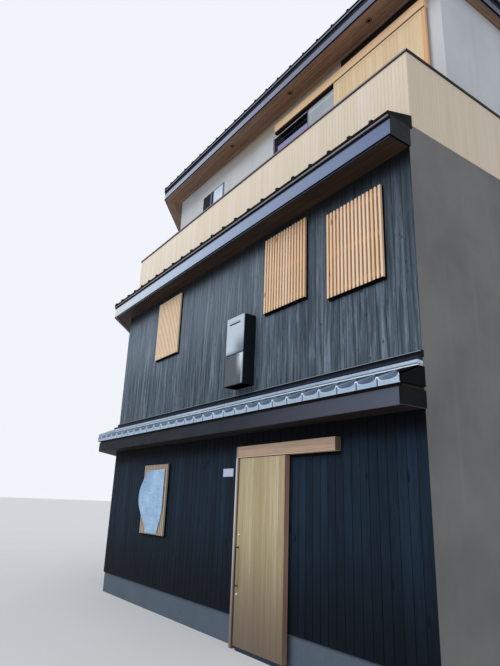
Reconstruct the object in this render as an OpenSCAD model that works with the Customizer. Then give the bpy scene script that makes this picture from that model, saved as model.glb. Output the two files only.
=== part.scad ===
// Three-storey timber townhouse on a street corner, with two pent roofs, a balcony and a hipped top roof.
// Units are millimetres. The street front faces -Y, and the ground is at Z = 0.
// The origin is at the middle of the whole footprint, eaves included, at ground level.

/* [Plan] */
// Width of the street front, from the left corner to the party wall
front_w = 7440; // [6900:20:8400]
// Depth from the street front to the back face
house_d = 7600; // [6400:100:9000]
// Angle by which the corner wall turns back from the line of the front
corner_turn = 40; // [34:1:46]
// Length of the corner wall
corner_len = 2400; // [2000:50:2800]
// Thickness of the outer walls
wall_t = 160; // [130:10:190]
// How far the top storey stands back from the front
top_back = 1030; // [900:10:1200]
// How far the top storey stands back from the corner wall
top_corner_back = 716; // [600:4:800]
// How far the top storey stands in from the party line
top_side_back = 150; // [100:10:200]

/* [Levels] */
// Top of the concrete plinth
plinth_h = 345; // [250:5:450]
// How far the plinth stands behind the face of the boards
plinth_in = 20; // [10:2:40]
// Top of the ground floor and of the door sill
ground_floor_top = 35; // [25:1:36]
// Height of the low soffit over the door's header
soffit_over_door = 180; // [140:5:220]
// Height of the middle floor over the low soffit
middle_floor_step = 458; // [430:2:500]
// Thickness of the middle floor
middle_floor_t = 280; // [200:10:320]
// Height of the balcony deck over the middle floor
middle_storey_h = 2620; // [2560:5:2700]
// Thickness of the balcony deck
deck_t = 140; // [100:5:180]
// Height of the top floor over the deck
top_floor_step = 260; // [150:10:320]
// Height of the top soffit over the deck
top_storey_h = 3008; // [2900:4:3200]

/* [Low roof] */
// Reach of the low fascia's face beyond the walls
low_out = 327; // [280:1:380]
// Height of the low fascia
low_fascia_h = 163; // [140:1:180]
// Height of the dark gap between the low fascia and the tiles
tile_gap = 33; // [20:1:40]
// Reach of the tiles beyond the low fascia
tile_out = 35; // [20:1:50]
// Height of the tiles' edge
tile_h = 100; // [80:1:110]
// Rise of the low roof for each unit of depth
low_slope = 0.36; // [0.3:0.02:0.4]
// Radius of the round hip tiles
hip_r = 62; // [50:1:70]
// Reach of the hip tiles beyond the eaves corner
hip_over = 14; // [5:1:30]
// Depth of the flat ridge courses against the wall
course_out = 100; // [80:5:120]
// Height of the ridge courses over the tiles
course_h = 93; // [80:1:110]
// Height of the dark flashing over the courses
flashing_h = 65; // [50:5:80]
// Depth of the flashing
flashing_t = 30; // [20:2:40]

/* [High roof] */
// Height of the deck over the high soffit
high_drop = 283; // [275:1:300]
// Height of the high fascia
high_fascia_h = 206; // [190:2:216]
// Reach of the high fascia's face beyond the walls
high_out = 320; // [280:1:360]
// Rise of the high roof for each unit of depth
high_slope = 0.32; // [0.28:0.01:0.36]
// Distance from one standing seam of the high roof to the next
high_seam_pitch = 333; // [300:1:360]
// Distance of the first seam from the right end of each side
high_seam_in = 255; // [60:5:280]

/* [Top roof] */
// Height of the top fascia
top_fascia_h = 181; // [160:1:200]
// Reach of the top fascia's face beyond the top storey, at the front and the corner
top_out = 408; // [360:4:460]
// Reach of the top fascia's face beyond the left and back walls
top_rear_out = 300; // [240:10:340]
// Rise of the top roof for each unit of depth
top_slope = 0.3; // [0.24:0.02:0.36]
// Thickness of the soffit boards
soffit_t = 22; // [15:1:30]
// Distance from one standing seam of the top roof to the next
top_seam_pitch = 350; // [320:1:380]
// Distance of the first seam from the right end of each side
top_seam_in = 81; // [60:1:120]

/* [Eaves and sheet metal] */
// Thickness of every fascia
fascia_t = 20; // [16:1:26]
// How far every fascia hangs below its soffit
fascia_drop = 8; // [2:1:20]
// Reach of the roofs beyond the party line
roof_side = 18; // [10:2:30]
// Height of the drip strip between fascia and sheet
drip_h = 35; // [25:1:45]
// Reach of the drip strip beyond the fascia
drip_out = 10; // [6:1:14]
// Reach of the sheet metal beyond the fascia
sheet_out = 25; // [18:1:32]
// Thickness of the pent roof's sheet with its boarding, measured upright
sheet_t = 40; // [30:1:50]
// Thickness of the top roof's sheet with its boarding, measured upright
top_sheet_t = 78; // [60:1:90]
// Width of a standing seam
seam_w = 36; // [24:1:44]
// Height of a standing seam over the sheet
seam_h = 36; // [26:1:40]
// Width of the caps over the hips and the ridge
hip_cap_w = 90; // [70:2:110]
// Height of those caps over the sheet
hip_cap_h = 24; // [16:1:30]

/* [Balcony] */
// How far the parapet's face stands behind the front wall's face
parapet_in = 40; // [20:5:60]
// How far the parapet's face stands behind the corner wall's face
parapet_corner_in = 140; // [100:5:160]
// Thickness of the parapet
parapet_t = 100; // [80:5:120]
// Height of the parapet's boards over the deck
parapet_h = 1000; // [900:10:1100]
// Height of the metal cap on the parapet
cap_h = 32; // [24:1:40]
// Reach of the cap beyond the parapet's faces
cap_out = 18; // [10:1:24]

/* [Lattices] */
// Width of a slat
slat_w = 32; // [26:1:38]
// Distance from one slat to the next, before it is shared out evenly
slat_pitch = 58; // [52:1:70]
// Depth of a slat, from the wall to its face
slat_d = 58; // [50:1:64]
// Depth of the rails that tie the slats together against the wall
rail_d = 20; // [14:1:26]
// Height of a rail
rail_h = 45; // [35:1:60]
// Distance of the end rails from the slats' ends
rail_in = 60; // [40:2:90]
// Left edge of the ground lattice
ground_lattice_x = 1572; // [1500:2:1700]
// Foot of the ground lattice
ground_lattice_z = 1107; // [1050:1:1150]
// Left edge of the left lattice
left_lattice_x = 1556; // [1500:2:1620]
// Left edge of the middle lattice
middle_lattice_x = 4945; // [4900:5:5000]
// Depth of the left and middle lattices' tops below the high soffit
upper_lattice_drop = 141; // [100:1:160]
// Distance of the right lattice from the party line
right_lattice_in = 380; // [320:1:420]
// Depth of the right lattice's top below the high soffit
right_lattice_drop = 294; // [260:2:330]
// Width of each lattice
lattice_w = 856; // [800:4:900]
// Height of each lattice
lattice_h = 1095; // [1040:5:1120]
// How far the window behind a lattice stands in from its edges
lattice_cover = 70; // [50:5:100]

/* [Door] */
// Left edge of the door when it is closed
door_x = 4567; // [4562:1:4580]
// Width of the door
door_w = 943; // [920:1:960]
// Clearance under the door
door_under = 6; // [5:1:12]
// Height of the door
door_h = 2152; // [2120:1:2200]
// Thickness of the door
door_t = 68; // [50:1:72]
// Clearance between the door's back and the wall
door_clear = 15; // [10:1:20]
// Clearance between the door and its stop and header
door_gap = 8; // [6:1:12]
// How far the door laps over the doorway at each side and at its head
door_lap = 50; // [40:1:60]
// Travel of the door
door_travel = 800; // [700:10:840]
// Width of the stop that the door closes against
stop_w = 29; // [20:1:36]
// Depth of the stop
stop_d = 50; // [40:1:56]
// Width of the jamb strip
jamb_w = 47; // [40:1:60]
// Height of the header box
header_h = 141; // [120:1:160]
// Reach of the header box in front of the door
header_over = 5; // [3:1:12]
// Thickness of the header's boards
header_board = 16; // [12:1:18]
// Space left in the header beyond the open door
header_spare = 22; // [10:1:40]

/* [Door fittings] */
// Length of the pull bar between its brackets
pull_len = 456; // [400:4:500]
// Lower end of the pull bar
pull_z = 677; // [600:1:700]
// Distance of the pull bar and the locks from the door's left edge
pull_in = 48; // [40:1:60]
// Radius of the pull bar
pull_r = 9; // [7:0.5:12]
// Distance of the pull bar's axis from the door's face
pull_off = 42; // [30:1:50]
// Reach of the pull bar's brackets beyond the bar at each side
bracket_side = 3; // [2:0.5:5]
// Height of a bracket
bracket_h = 22; // [16:1:30]
// Radius of a lock's rose
lock_r = 16; // [12:1:20]
// Thickness of a rose
rose_t = 6; // [4:0.5:8]
// Radius of a lock's barrel
barrel_r = 11; // [8:0.5:11.5]
// Reach of a lock's barrel from the door's face
barrel_out = 14; // [10:1:20]
// Height of the upper lock over the ground
upper_lock_z = 1262; // [1230:1:1300]
// Height of the lower lock over the ground
lower_lock_z = 592; // [560:1:620]

/* [Water heater] */
// Left edge of the heater
heater_x = 4273; // [4200:1:4300]
// Height of the heater over the flashing
heater_over = 88; // [60:2:120]
// Width of the heater
heater_w = 430; // [380:5:480]
// Depth of the heater with its covers
heater_d = 202; // [180:2:240]
// Height of the upper cover
heater_upper_h = 542; // [500:2:600]
// Height of the pipe cover
heater_lower_h = 440; // [400:5:470]
// Thickness of a cover
cover_t = 14; // [10:1:20]
// Gap between the two covers
cover_gap = 5; // [3:1:8]

/* [Top storey front] */
// Left edge of the small window
small_window_x = 985; // [900:5:1050]
// Height of the small window's sill over the deck
small_sill = 1680; // [1600:10:1760]
// Width of the small window
small_window_w = 865; // [800:5:900]
// Height of the small window
small_window_h = 900; // [800:10:960]
// Left edge of the large window
large_window_x = 3580; // [3500:10:3700]
// Width of the large window
large_window_w = 1980; // [1900:10:2040]
// Height of the large window's sill over the deck
large_sill = 380; // [350:10:440]
// Depth of the large window's head below the top soffit
large_head_drop = 364; // [350:2:400]
// How far the shutter panel laps over the large window
shutter_lap = 270; // [220:5:320]
// Distance of the shutter panel from the party line
shutter_in = 355; // [320:5:420]
// Height of the shutter panel's foot over the deck
shutter_foot = 340; // [300:10:380]
// Thickness of the shutter panel
shutter_t = 40; // [30:1:50]
// Distance of the shutter panel's back from the wall
shutter_gap = 30; // [20:1:40]
// How far the rail's left end stands in from the large window's edge
shutter_rail_in = 140; // [100:5:180]
// How far the rail laps over the large window's head
shutter_rail_lap = 8; // [0:1:20]
// Height of the rail over the window
shutter_rail_h = 154; // [120:2:170]
// Depth of the rail over the window
shutter_rail_d = 85; // [80:1:100]

/* [Windows] */
// Width of a window frame's members
frame_w = 45; // [35:1:60]
// Depth of a window frame
frame_d = 70; // [50:2:90]
// How far a window frame stands behind the wall's face
frame_in = 30; // [20:2:40]
// Thickness of the glass
glass_t = 8; // [5:1:12]
// Width of a plain window in the left and back walls
plain_window_w = 860; // [700:10:960]
// Height of a plain window in the left and back walls
plain_window_h = 900; // [800:10:1000]
// Height of the plain ground windows' sills over the ground
plain_low_sill = 1200; // [1100:10:1300]
// Height of the plain middle windows' sills over their floor
plain_middle_sill = 1170; // [1050:10:1250]
// Distance of the first plain window from the near end of its wall
plain_near = 1500; // [1200:20:1700]
// Distance of the left wall's second plain window from its rear end
plain_left_far = 3600; // [3200:20:4200]
// Distance of the back wall's second plain window from the party line
plain_back_far = 5200; // [4600:20:5600]

/* [Small pieces] */
// Radius of a downlight's rim
downlight_r = 48; // [36:2:60]
// Distance from one downlight to the next
downlight_pitch = 1878; // [1700:2:1900]
// Distance of the first downlight from the left corner
downlight_x = 2480; // [2300:10:2600]
// How far the downlights stand outside the middle of the front eaves
downlight_out = 30; // [0:5:60]
// Depth of a downlight's rim below the soffit
downlight_h = 5; // [4:0.5:8]
// Width of a downlight's rim
downlight_rim = 10; // [6:1:14]
// Left edge of the blank plate
plate_x = 4056; // [4000:2:4100]
// Bottom of the blank plate
plate_z = 1976; // [1940:2:2000]
// Width of the blank plate
plate_w = 250; // [200:10:280]
// Height of the blank plate
plate_h = 104; // [80:2:120]
// Thickness of the blank plate
plate_t = 8; // [6:1:12]
// Width of the hung sheet
cloth_w = 640; // [560:10:700]
// Height of the hung sheet
cloth_h = 1000; // [900:10:1040]
// Thickness that the hung sheet's folds take up
cloth_t = 6; // [4:0.5:10]
// Distance of the hung sheet from the lattice's right edge
cloth_in = 60; // [20:5:100]
// Height of the hung sheet's foot over the lattice's foot
cloth_foot = 20; // [10:5:60]

/* [Hidden] */
$fn = 48;

// A size larger than the house, for cutting
big = 40000;
// A small overlap for cutting tools
eps = 1;
// The clearance between a soft or running piece and its seat
seat = 0.3;
left_x = -corner_len * cos(corner_turn);

// The door, its doorway and its header
door_z = ground_floor_top + door_under;
door_top = door_z + door_h;
door_face = door_t + door_clear;
doorway_x = door_x + door_lap;
doorway_w = door_w - 2 * door_lap;
doorway_top = door_top - door_lap;
header_x = door_x - door_gap - stop_w;
header_len = door_x + door_w + door_travel + header_spare + header_board - header_x;
header_d = door_face + header_over;
header_z = door_top + door_gap;
head_z = header_z + header_h;

// Levels, from the header up
low_soffit_z = head_z + soffit_over_door;
low_fascia_z = low_soffit_z - fascia_drop;
tile_z = low_fascia_z + low_fascia_h + tile_gap;
low_reach = low_out + tile_out;
course_top = tile_z + tile_h + low_slope * (low_reach - course_out) + course_h;
flashing_top = course_top + flashing_h;
middle_floor_top = low_soffit_z + middle_floor_step;
deck_top = middle_floor_top + middle_storey_h;
high_soffit_z = deck_top - high_drop;
high_fascia_z = high_soffit_z - fascia_drop;
high_sheet_z = high_fascia_z + high_fascia_h + drip_h;
high_reach = high_out + sheet_out;
parapet_top = deck_top + parapet_h;
top_wall_top = deck_top + top_storey_h;
top_fascia_z = top_wall_top - fascia_drop;
top_sheet_z = top_fascia_z + top_fascia_h + drip_h;

// The middle of the whole footprint, out to the hip tiles
middle_x = (left_x - low_reach - hip_over + front_w + roof_side) / 2;
middle_y = (house_d + top_rear_out + sheet_out - low_reach - hip_over) / 2;
// How far the top fascia stands in from the party line, so that the roofs end in one line there
top_side_in = sheet_out - roof_side;

// Windows behind the lattices, as left edge and sill
window_w = lattice_w - 2 * lattice_cover;
window_h = lattice_h - 2 * lattice_cover;
upper_lattice_z = high_soffit_z - upper_lattice_drop - lattice_h;
right_lattice_x = front_w - right_lattice_in - lattice_w;
right_lattice_z = high_soffit_z - right_lattice_drop - lattice_h;
ground_places = [[ground_lattice_x, ground_lattice_z]];
upper_places = [[left_lattice_x, upper_lattice_z], [middle_lattice_x, upper_lattice_z],
    [right_lattice_x, right_lattice_z]];
// The top storey's windows and the shutter
small_window_z = deck_top + small_sill;
large_window_z = deck_top + large_sill;
large_window_h = top_wall_top - large_head_drop - large_window_z;
small_places = [[small_window_x, small_window_z]];
large_places = [[large_window_x, large_window_z]];
shutter_x = large_window_x + large_window_w - shutter_lap;
shutter_w = front_w - shutter_in - shutter_x;
shutter_z = deck_top + shutter_foot;
shutter_rail_x = large_window_x + shutter_rail_in;
shutter_rail_z = top_wall_top - large_head_drop - shutter_rail_lap;
// Windows of the left and back walls, as distance along the wall from its rear or party end, and sill
plain_middle_z = middle_floor_top + plain_middle_sill;
left_windows = [[plain_near, plain_low_sill], [plain_near, plain_middle_z], [plain_left_far, plain_middle_z]];
back_windows = [for (z = [plain_low_sill, plain_middle_z]) for (x = [plain_near, plain_back_far]) [x, z]];
top_left_windows = [[plain_near, small_window_z]];
top_back_windows = [for (x = [plain_near, plain_back_far]) [x, small_window_z]];

// Corners of the footprint, each side moved inward by its own amount: front, corner, left, back, party
function plan(f, c, l, b, r) = [
    [(c - f * cos(corner_turn)) / sin(corner_turn), f],
    [front_w - r, f],
    [front_w - r, house_d - b],
    [left_x + l, house_d - b],
    [left_x + l, (c - (left_x + l) * sin(corner_turn)) / cos(corner_turn)]];

// The footprint moved inward by one amount, and that of the top storey
function body(i) = plan(i, i, i, i, i);
function top_body(i) = plan(top_back + i, top_corner_back + i, i, i, top_side_back + i);
// An eaves line round the street sides of the lower storeys, and the line behind its fascia
function eaves(out) = plan(-out, -out, -out, 0, -roof_side);
function behind_fascia(out) =
    plan(fascia_t - out, fascia_t - out, fascia_t - out, fascia_t, fascia_t - roof_side);
// The eaves line of the top roof, moved outward
function top_eaves(out) = plan(top_back - top_out - out, top_corner_back - top_out - out,
    -top_rear_out - out, -top_rear_out - out, top_side_in - out);
// The strip of wall on one side, mitred at both ends
function strip(outer, inner, i) = [outer[i], outer[(i + 1) % 5], inner[(i + 1) % 5], inner[i]];

// The edge of the top roof's sheet, and the points where its hips meet, with their runs from that edge
top_front_y = top_back - top_out - sheet_out;
top_rear_y = house_d + top_rear_out + sheet_out;
top_left_x = left_x - top_rear_out - sheet_out;
top_right_x = front_w + roof_side;
top_corner_line = top_corner_back - top_out - sheet_out;
top_edge = top_eaves(sheet_out);
ridge_run = (top_rear_y - top_front_y) / 2;
ridge_right = [top_right_x - ridge_run, top_front_y + ridge_run];
ridge_left = [top_left_x + ridge_run, top_front_y + ridge_run];
peak_run = (top_corner_line - top_left_x * sin(corner_turn) - top_front_y * cos(corner_turn))
    / (sin(corner_turn) + cos(corner_turn) - 1);
corner_peak = [top_left_x + peak_run, top_front_y + peak_run];

// The sides of a roof, each as its turn, its eaves line's distance and its outline in plan
pent_sides = [
    [0, -high_reach, strip(eaves(high_reach), eaves(-wall_t), 0)],
    [corner_turn, -high_reach, strip(eaves(high_reach), eaves(-wall_t), 4)],
    [90, left_x - high_reach, strip(eaves(high_reach), eaves(-wall_t), 3)]];
top_sides = [
    [0, top_front_y, [top_edge[0], top_edge[1], ridge_right, ridge_left, corner_peak]],
    [corner_turn, top_corner_line, [top_edge[4], top_edge[0], corner_peak]],
    [90, top_left_x, [top_edge[3], top_edge[4], corner_peak, ridge_left]],
    [180, -top_rear_y, [top_edge[2], top_edge[3], ridge_left, ridge_right]],
    [270, -top_right_x, [top_edge[1], top_edge[2], ridge_right]]];

// The hips of a pent roof from its edge to an inner line, and the hips and ridge of the top roof
function pent_hips(reach, inner, z, slope) = [for (i = [0, 4])
    [[each eaves(reach)[i], z], [each eaves(inner)[i], z + slope * (reach - inner)]]];
function top_point(p, run) = [p[0], p[1], top_sheet_z + top_sheet_t + top_slope * run];
top_hips = [
    [top_point(top_edge[0], 0), top_point(corner_peak, peak_run)],
    [top_point(top_edge[4], 0), top_point(corner_peak, peak_run)],
    [top_point(corner_peak, peak_run), top_point(ridge_left, ridge_run)],
    [top_point(top_edge[3], 0), top_point(ridge_left, ridge_run)],
    [top_point(top_edge[2], 0), top_point(ridge_right, ridge_run)],
    [top_point(top_edge[1], 0), top_point(ridge_right, ridge_run)],
    [top_point(ridge_left, ridge_run), top_point(ridge_right, ridge_run)]];

module set_down() { translate([-middle_x, -middle_y, 0]) children(); }
module prism(points, z0, z1) { translate([0, 0, z0]) linear_extrude(z1 - z0) polygon(points); }
module block(x, y, z, size) { translate([x, y, z]) cube(size); }

// Everything under a slope that rises inward from one side's eaves line
module under(turn, distance, z, slope) {
    rotate([0, 0, -turn]) translate([0, distance, z]) rotate([atan(slope), 0, 0])
        translate([-big, -big, -2 * big]) cube(2 * big);
}

// Everything under a pent roof that runs round the front, the corner and the left side
module under_pent(z, slope, out) {
    intersection() {
        under(0, -out, z, slope);
        under(corner_turn, -out, z, slope);
        under(90, left_x - out, z, slope);
    }
}

// Everything under the hipped top roof, with its eaves line moved outward
module under_hip(z, out) {
    intersection() {
        under(0, top_front_y + sheet_out - out, z, top_slope);
        under(corner_turn, top_corner_line + sheet_out - out, z, top_slope);
        under(90, top_left_x + sheet_out - out, z, top_slope);
        under(180, -top_rear_y + sheet_out - out, z, top_slope);
        under(270, -top_right_x + sheet_out - out, z, top_slope);
    }
}

// The part of a pent roof's piece that lies outside the walls, ended behind the party line at depth y_end
module street_side(y_end = 0) {
    difference() {
        children();
        prism(body(0), -eps, deck_top);
        block(front_w, y_end, -eps, [big, big, big]);
    }
}

// Places its children, drawn along +Z, on the line from one point in space to another
module along(from, to) {
    d = to - from;
    translate(from) rotate([0, 0, atan2(d[1], d[0])])
        rotate([0, 90 - atan2(d[2], norm([d[0], d[1]])), 0]) children();
}

// Bent metal caps over hips and a ridge
module hip_caps(hips) {
    lap = hip_cap_w / 4;
    for (hip = hips) along(hip[0], hip[1])
        block(-hip_cap_h, -hip_cap_w / 2, -lap,
            [hip_cap_h + sheet_t / 2, hip_cap_w, norm(hip[1] - hip[0]) + 2 * lap]);
}

// Upright bands over hips and a ridge, a little narrower than their caps
module hip_bands(hips) {
    lap = hip_cap_w / 4;
    for (hip = hips) {
        from = [hip[0][0], hip[0][1], 0];
        to = [hip[1][0], hip[1][1], 0];
        along(from, to)
            block(-big, -hip_cap_w / 3, -lap, [2 * big, hip_cap_w * 2 / 3, norm(to - from) + 2 * lap]);
    }
}

// Standing seams up the sides of a roof, from the right end of each side, and ended under the caps
module seams(sides, hips, z, slope, first, pitch) {
    start = seam_w / 6;
    difference() {
        for (side = sides) {
            turn = side[0];
            right_end = side[2][1][0] * cos(turn) - side[2][1][1] * sin(turn);
            left_end = side[2][0][0] * cos(turn) - side[2][0][1] * sin(turn);
            intersection() {
                prism(side[2], z, z + big);
                under(turn, side[1], z + seam_h, slope);
                rotate([0, 0, -turn]) for (x = [right_end - first : -pitch : left_end])
                    block(x - seam_w / 2, side[1] + start, z, [seam_w, big, big]);
            }
        }
        hip_bands(hips);
    }
}

module ring(outer, inner, z0, z1) {
    difference() {
        prism(outer, z0, z1);
        prism(inner, z0 - eps, z1 + eps);
    }
}

// The windows of a wall, as children placed with local -Y outward
module on_front(places, y) { for (p = places) translate([p[0], y, p[1]]) children(); }
module on_left(places) {
    for (p = places) translate([left_x, house_d - p[0], p[1]]) rotate([0, 0, -90]) children();
}
module on_back(places) {
    for (p = places) translate([front_w - p[0], house_d, p[1]]) rotate([0, 0, 180]) children();
}

module window_hole(w, h) { block(0, -wall_t, 0, [w, 3 * wall_t, h]); }
module window_frame(w, h, panes) {
    clear_w = (w - (panes + 1) * frame_w) / panes;
    translate([0, frame_in, 0]) difference() {
        cube([w, frame_d, h]);
        for (i = [0 : panes - 1])
            block(frame_w + i * (clear_w + frame_w), -eps, frame_w,
                [clear_w, frame_d + 2 * eps, h - 2 * frame_w]);
    }
}
module window_panes(w, h, panes) {
    clear_w = (w - (panes + 1) * frame_w) / panes;
    for (i = [0 : panes - 1])
        block(frame_w + i * (clear_w + frame_w), frame_in + (frame_d - glass_t) / 2, frame_w,
            [clear_w, glass_t, h - 2 * frame_w]);
}
function behind(places) = [for (p = places) [p[0] + lattice_cover, p[1] + lattice_cover]];

module plinth() {
    color("#8f9aa2") set_down() difference() {
        ring(plan(plinth_in, plinth_in, plinth_in, plinth_in, 0), body(wall_t), 0, plinth_h);
        block(doorway_x, -wall_t, -eps, [doorway_w, 3 * wall_t, plinth_h + 2 * eps]);
    }
}

module ground_floor() {
    color("#9a9a96") set_down() {
        prism(body(wall_t), 0, ground_floor_top);
        block(doorway_x, -door_face, 0, [doorway_w, wall_t + door_face, ground_floor_top]);
    }
}

// A stretch of the front wall between two distances from the left corner
module front_stretch(x0, x1, z0, z1) {
    intersection() {
        prism(strip(body(0), body(wall_t), 0), z0, z1);
        block(x0, -eps, z0 - eps, [x1 - x0, wall_t + 2 * eps, z1 - z0 + 2 * eps]);
    }
}

module front_wall_left() {
    color("#1c2530") set_down() difference() {
        front_stretch(-big, doorway_x, plinth_h, middle_floor_top);
        on_front(behind(ground_places), 0) window_hole(window_w, window_h);
    }
}
module front_wall_right() {
    color("#1c2530") set_down()
        front_stretch(doorway_x + doorway_w, big, plinth_h, middle_floor_top);
}
module front_wall_over_door() {
    color("#1c2530") set_down()
        front_stretch(doorway_x, doorway_x + doorway_w, doorway_top, middle_floor_top);
}
module middle_front_wall() {
    color("#4a5560") set_down() difference() {
        prism(strip(body(0), body(wall_t), 0), middle_floor_top, deck_top);
        on_front(behind(upper_places), 0) window_hole(window_w, window_h);
    }
}
module corner_wall() {
    color("#4a5560") set_down() prism(strip(body(0), body(wall_t), 4), plinth_h, deck_top);
}
module left_wall() {
    color("#4a5560") set_down() difference() {
        prism(strip(body(0), body(wall_t), 3), plinth_h, deck_top);
        on_left(left_windows) window_hole(plain_window_w, plain_window_h);
    }
}
module back_wall() {
    color("#4a5560") set_down() difference() {
        prism(strip(body(0), body(wall_t), 2), plinth_h, deck_top);
        on_back(back_windows) window_hole(plain_window_w, plain_window_h);
    }
}
module party_wall() {
    color("#5a5f63") set_down() prism(strip(body(0), body(wall_t), 1), plinth_h, deck_top);
}

module middle_floor() {
    color("#b59a78") set_down()
        prism(body(wall_t), middle_floor_top - middle_floor_t, middle_floor_top);
}
module top_floor() {
    color("#b59a78") set_down() {
        prism(body(wall_t), deck_top - deck_t, deck_top);
        prism(top_body(wall_t), deck_top - deck_t, deck_top + top_floor_step);
    }
}

module top_front_wall() {
    color("#c9c8c2") set_down() difference() {
        prism(strip(top_body(0), top_body(wall_t), 0), deck_top, top_wall_top);
        on_front(small_places, top_back) window_hole(small_window_w, small_window_h);
        on_front(large_places, top_back) window_hole(large_window_w, large_window_h);
    }
}
module top_corner_wall() {
    color("#c9c8c2") set_down() prism(strip(top_body(0), top_body(wall_t), 4), deck_top, top_wall_top);
}
module top_side_walls() {
    color("#c9c8c2") set_down() {
        difference() {
            prism(strip(top_body(0), top_body(wall_t), 3), deck_top, top_wall_top);
            on_left(top_left_windows) window_hole(plain_window_w, plain_window_h);
        }
        prism(strip(top_body(0), top_body(wall_t), 1), deck_top, top_wall_top);
    }
}
module top_back_wall() {
    color("#c9c8c2") set_down() difference() {
        prism(strip(top_body(0), top_body(wall_t), 2), deck_top, top_wall_top);
        on_back(top_back_windows) window_hole(plain_window_w, plain_window_h);
    }
}

// The jamb strip and the stop that the door closes against
module door_jamb() {
    color("#cdb8a0") set_down() {
        block(header_x - jamb_w, -door_face, 0, [jamb_w, door_face, head_z]);
        block(header_x - eps, -stop_d, ground_floor_top, [stop_w + eps, stop_d, door_top - ground_floor_top]);
    }
}

// Track in the header: two ledges with a slot between them for the door's hangers
slot_w = 20;
ledge_t = 10;
ledge_up = 32;
ledge_z = header_z + ledge_up;
track_y = -(door_face - door_t / 2);
hanger_neck = 8;
hanger_len = 90;
roller_w = 32;
roller_h = 42;

module door_header() {
    front_y = -header_d;
    color("#a58c7a") set_down() {
        block(header_x, front_y, header_z, [header_len, header_board, header_h]);
        block(header_x, front_y, head_z - header_board, [header_len, header_d, header_board]);
        block(header_x, -ledge_t, header_z, [header_len, ledge_t, header_h]);
        block(header_x + header_len - header_board, front_y, header_z, [header_board, header_d, header_h]);
        block(header_x, front_y, ledge_z, [header_len, track_y - slot_w / 2 - front_y, ledge_t]);
        block(header_x, track_y + slot_w / 2, ledge_z, [header_len, -track_y - slot_w / 2, ledge_t]);
    }
}

module sliding_door() {
    hanger_foot = ledge_z + ledge_t + seat;
    color("#b8a482") set_down() {
        block(door_x, -door_face, door_z, [door_w, door_t, door_h]);
        for (x = [door_x + door_w / 6, door_x + door_w * 5 / 6]) {
            block(x - hanger_len / 2, track_y - hanger_neck / 2, door_top - eps,
                [hanger_len, hanger_neck, hanger_foot - door_top + 2 * eps]);
            block(x - hanger_len / 2, track_y - roller_w / 2, hanger_foot, [hanger_len, roller_w, roller_h]);
        }
    }
}

fittings_x = door_x + pull_in;
module door_pull() {
    color("#3a3430") set_down() {
        translate([fittings_x, -door_face - pull_off, pull_z]) cylinder(h = pull_len, r = pull_r);
        for (z = [pull_z, pull_z + pull_len - bracket_h])
            block(fittings_x - pull_r - bracket_side, -door_face - pull_off - pull_r, z,
                [2 * (pull_r + bracket_side), pull_off + pull_r, bracket_h]);
    }
}

module door_locks() {
    color("#b08d4f") set_down() for (z = [upper_lock_z, lower_lock_z])
        translate([fittings_x, -door_face, z]) rotate([90, 0, 0]) {
            cylinder(h = rose_t, r = lock_r);
            cylinder(h = barrel_out, r = barrel_r);
        }
}

module blank_plate() {
    color("#cfd4f0") set_down() block(plate_x, -plate_t, plate_z, [plate_w, plate_t, plate_h]);
}

// Upright slats tied together by three rails, with their open ends at top and bottom
module lattice(x, z) {
    count = round((lattice_w - slat_w) / slat_pitch) + 1;
    pitch = (lattice_w - slat_w) / (count - 1);
    color("#e0b98d") set_down() translate([x, 0, z]) {
        for (h = [rail_in, (lattice_h - rail_h) / 2, lattice_h - rail_in - rail_h])
            block(0, -rail_d, h, [lattice_w, rail_d, rail_h]);
        for (i = [0 : count - 1])
            block(i * pitch, -slat_d, 0, [slat_w, slat_d, lattice_h]);
    }
}
module ground_lattice() { lattice(ground_lattice_x, ground_lattice_z); }
module left_lattice() { lattice(left_lattice_x, upper_lattice_z); }
module middle_lattice() { lattice(middle_lattice_x, upper_lattice_z); }
module right_lattice() { lattice(right_lattice_x, right_lattice_z); }

module hung_sheet() {
    cloth_x = ground_lattice_x + lattice_w - cloth_in - cloth_w;
    color("#b5cfe8") set_down()
        block(cloth_x, -slat_d - seat - cloth_t, ground_lattice_z + cloth_foot,
            [cloth_w, cloth_t, cloth_h]);
}

module low_roof_frame() {
    color("#2a2422") set_down() street_side() prism(behind_fascia(low_out), low_soffit_z, tile_z);
}
// The fascia with its end returns, and the flashing over the tiles
module low_roof_trim() {
    color("#3e3d43") set_down() street_side() {
        ring(eaves(low_out), behind_fascia(low_out), low_fascia_z, low_fascia_z + low_fascia_h);
        prism(eaves(flashing_t), course_top, flashing_top);
    }
}
// The tile field with its edge, the hip tiles, and the flat ridge courses against the wall
module low_roof_tiles() {
    edge_z = tile_z + tile_h;
    color("#b4b8c6") set_down() street_side() {
        intersection() {
            prism(eaves(low_reach), tile_z, course_top);
            under_pent(edge_z, low_slope, low_reach);
        }
        intersection() {
            prism(eaves(low_reach + hip_over), tile_z, course_top);
            for (hip = pent_hips(low_reach, course_out / 2, edge_z, low_slope)) along(hip[0], hip[1])
                translate([0, 0, -2 * hip_r]) cylinder(h = 2 * hip_r + norm(hip[1] - hip[0]), r = hip_r);
        }
        prism(eaves(course_out), tile_z, course_top);
    }
}

heater_z = flashing_top + heater_over;
heater_top = heater_z + heater_lower_h + cover_gap + heater_upper_h;
module heater_casing() {
    color("#10161f") set_down()
        block(heater_x, -heater_d + cover_t, heater_z,
            [heater_w, heater_d - cover_t, heater_top - heater_z]);
}
module heater_covers() {
    color("#c4c8cc") set_down() {
        block(heater_x, -heater_d, heater_z, [heater_w, cover_t, heater_lower_h]);
        block(heater_x, -heater_d, heater_z + heater_lower_h + cover_gap,
            [heater_w, cover_t, heater_upper_h]);
    }
}

module high_roof_frame() {
    color("#6b4a35") set_down() street_side() prism(behind_fascia(high_out), high_soffit_z, high_sheet_z);
}
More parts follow.
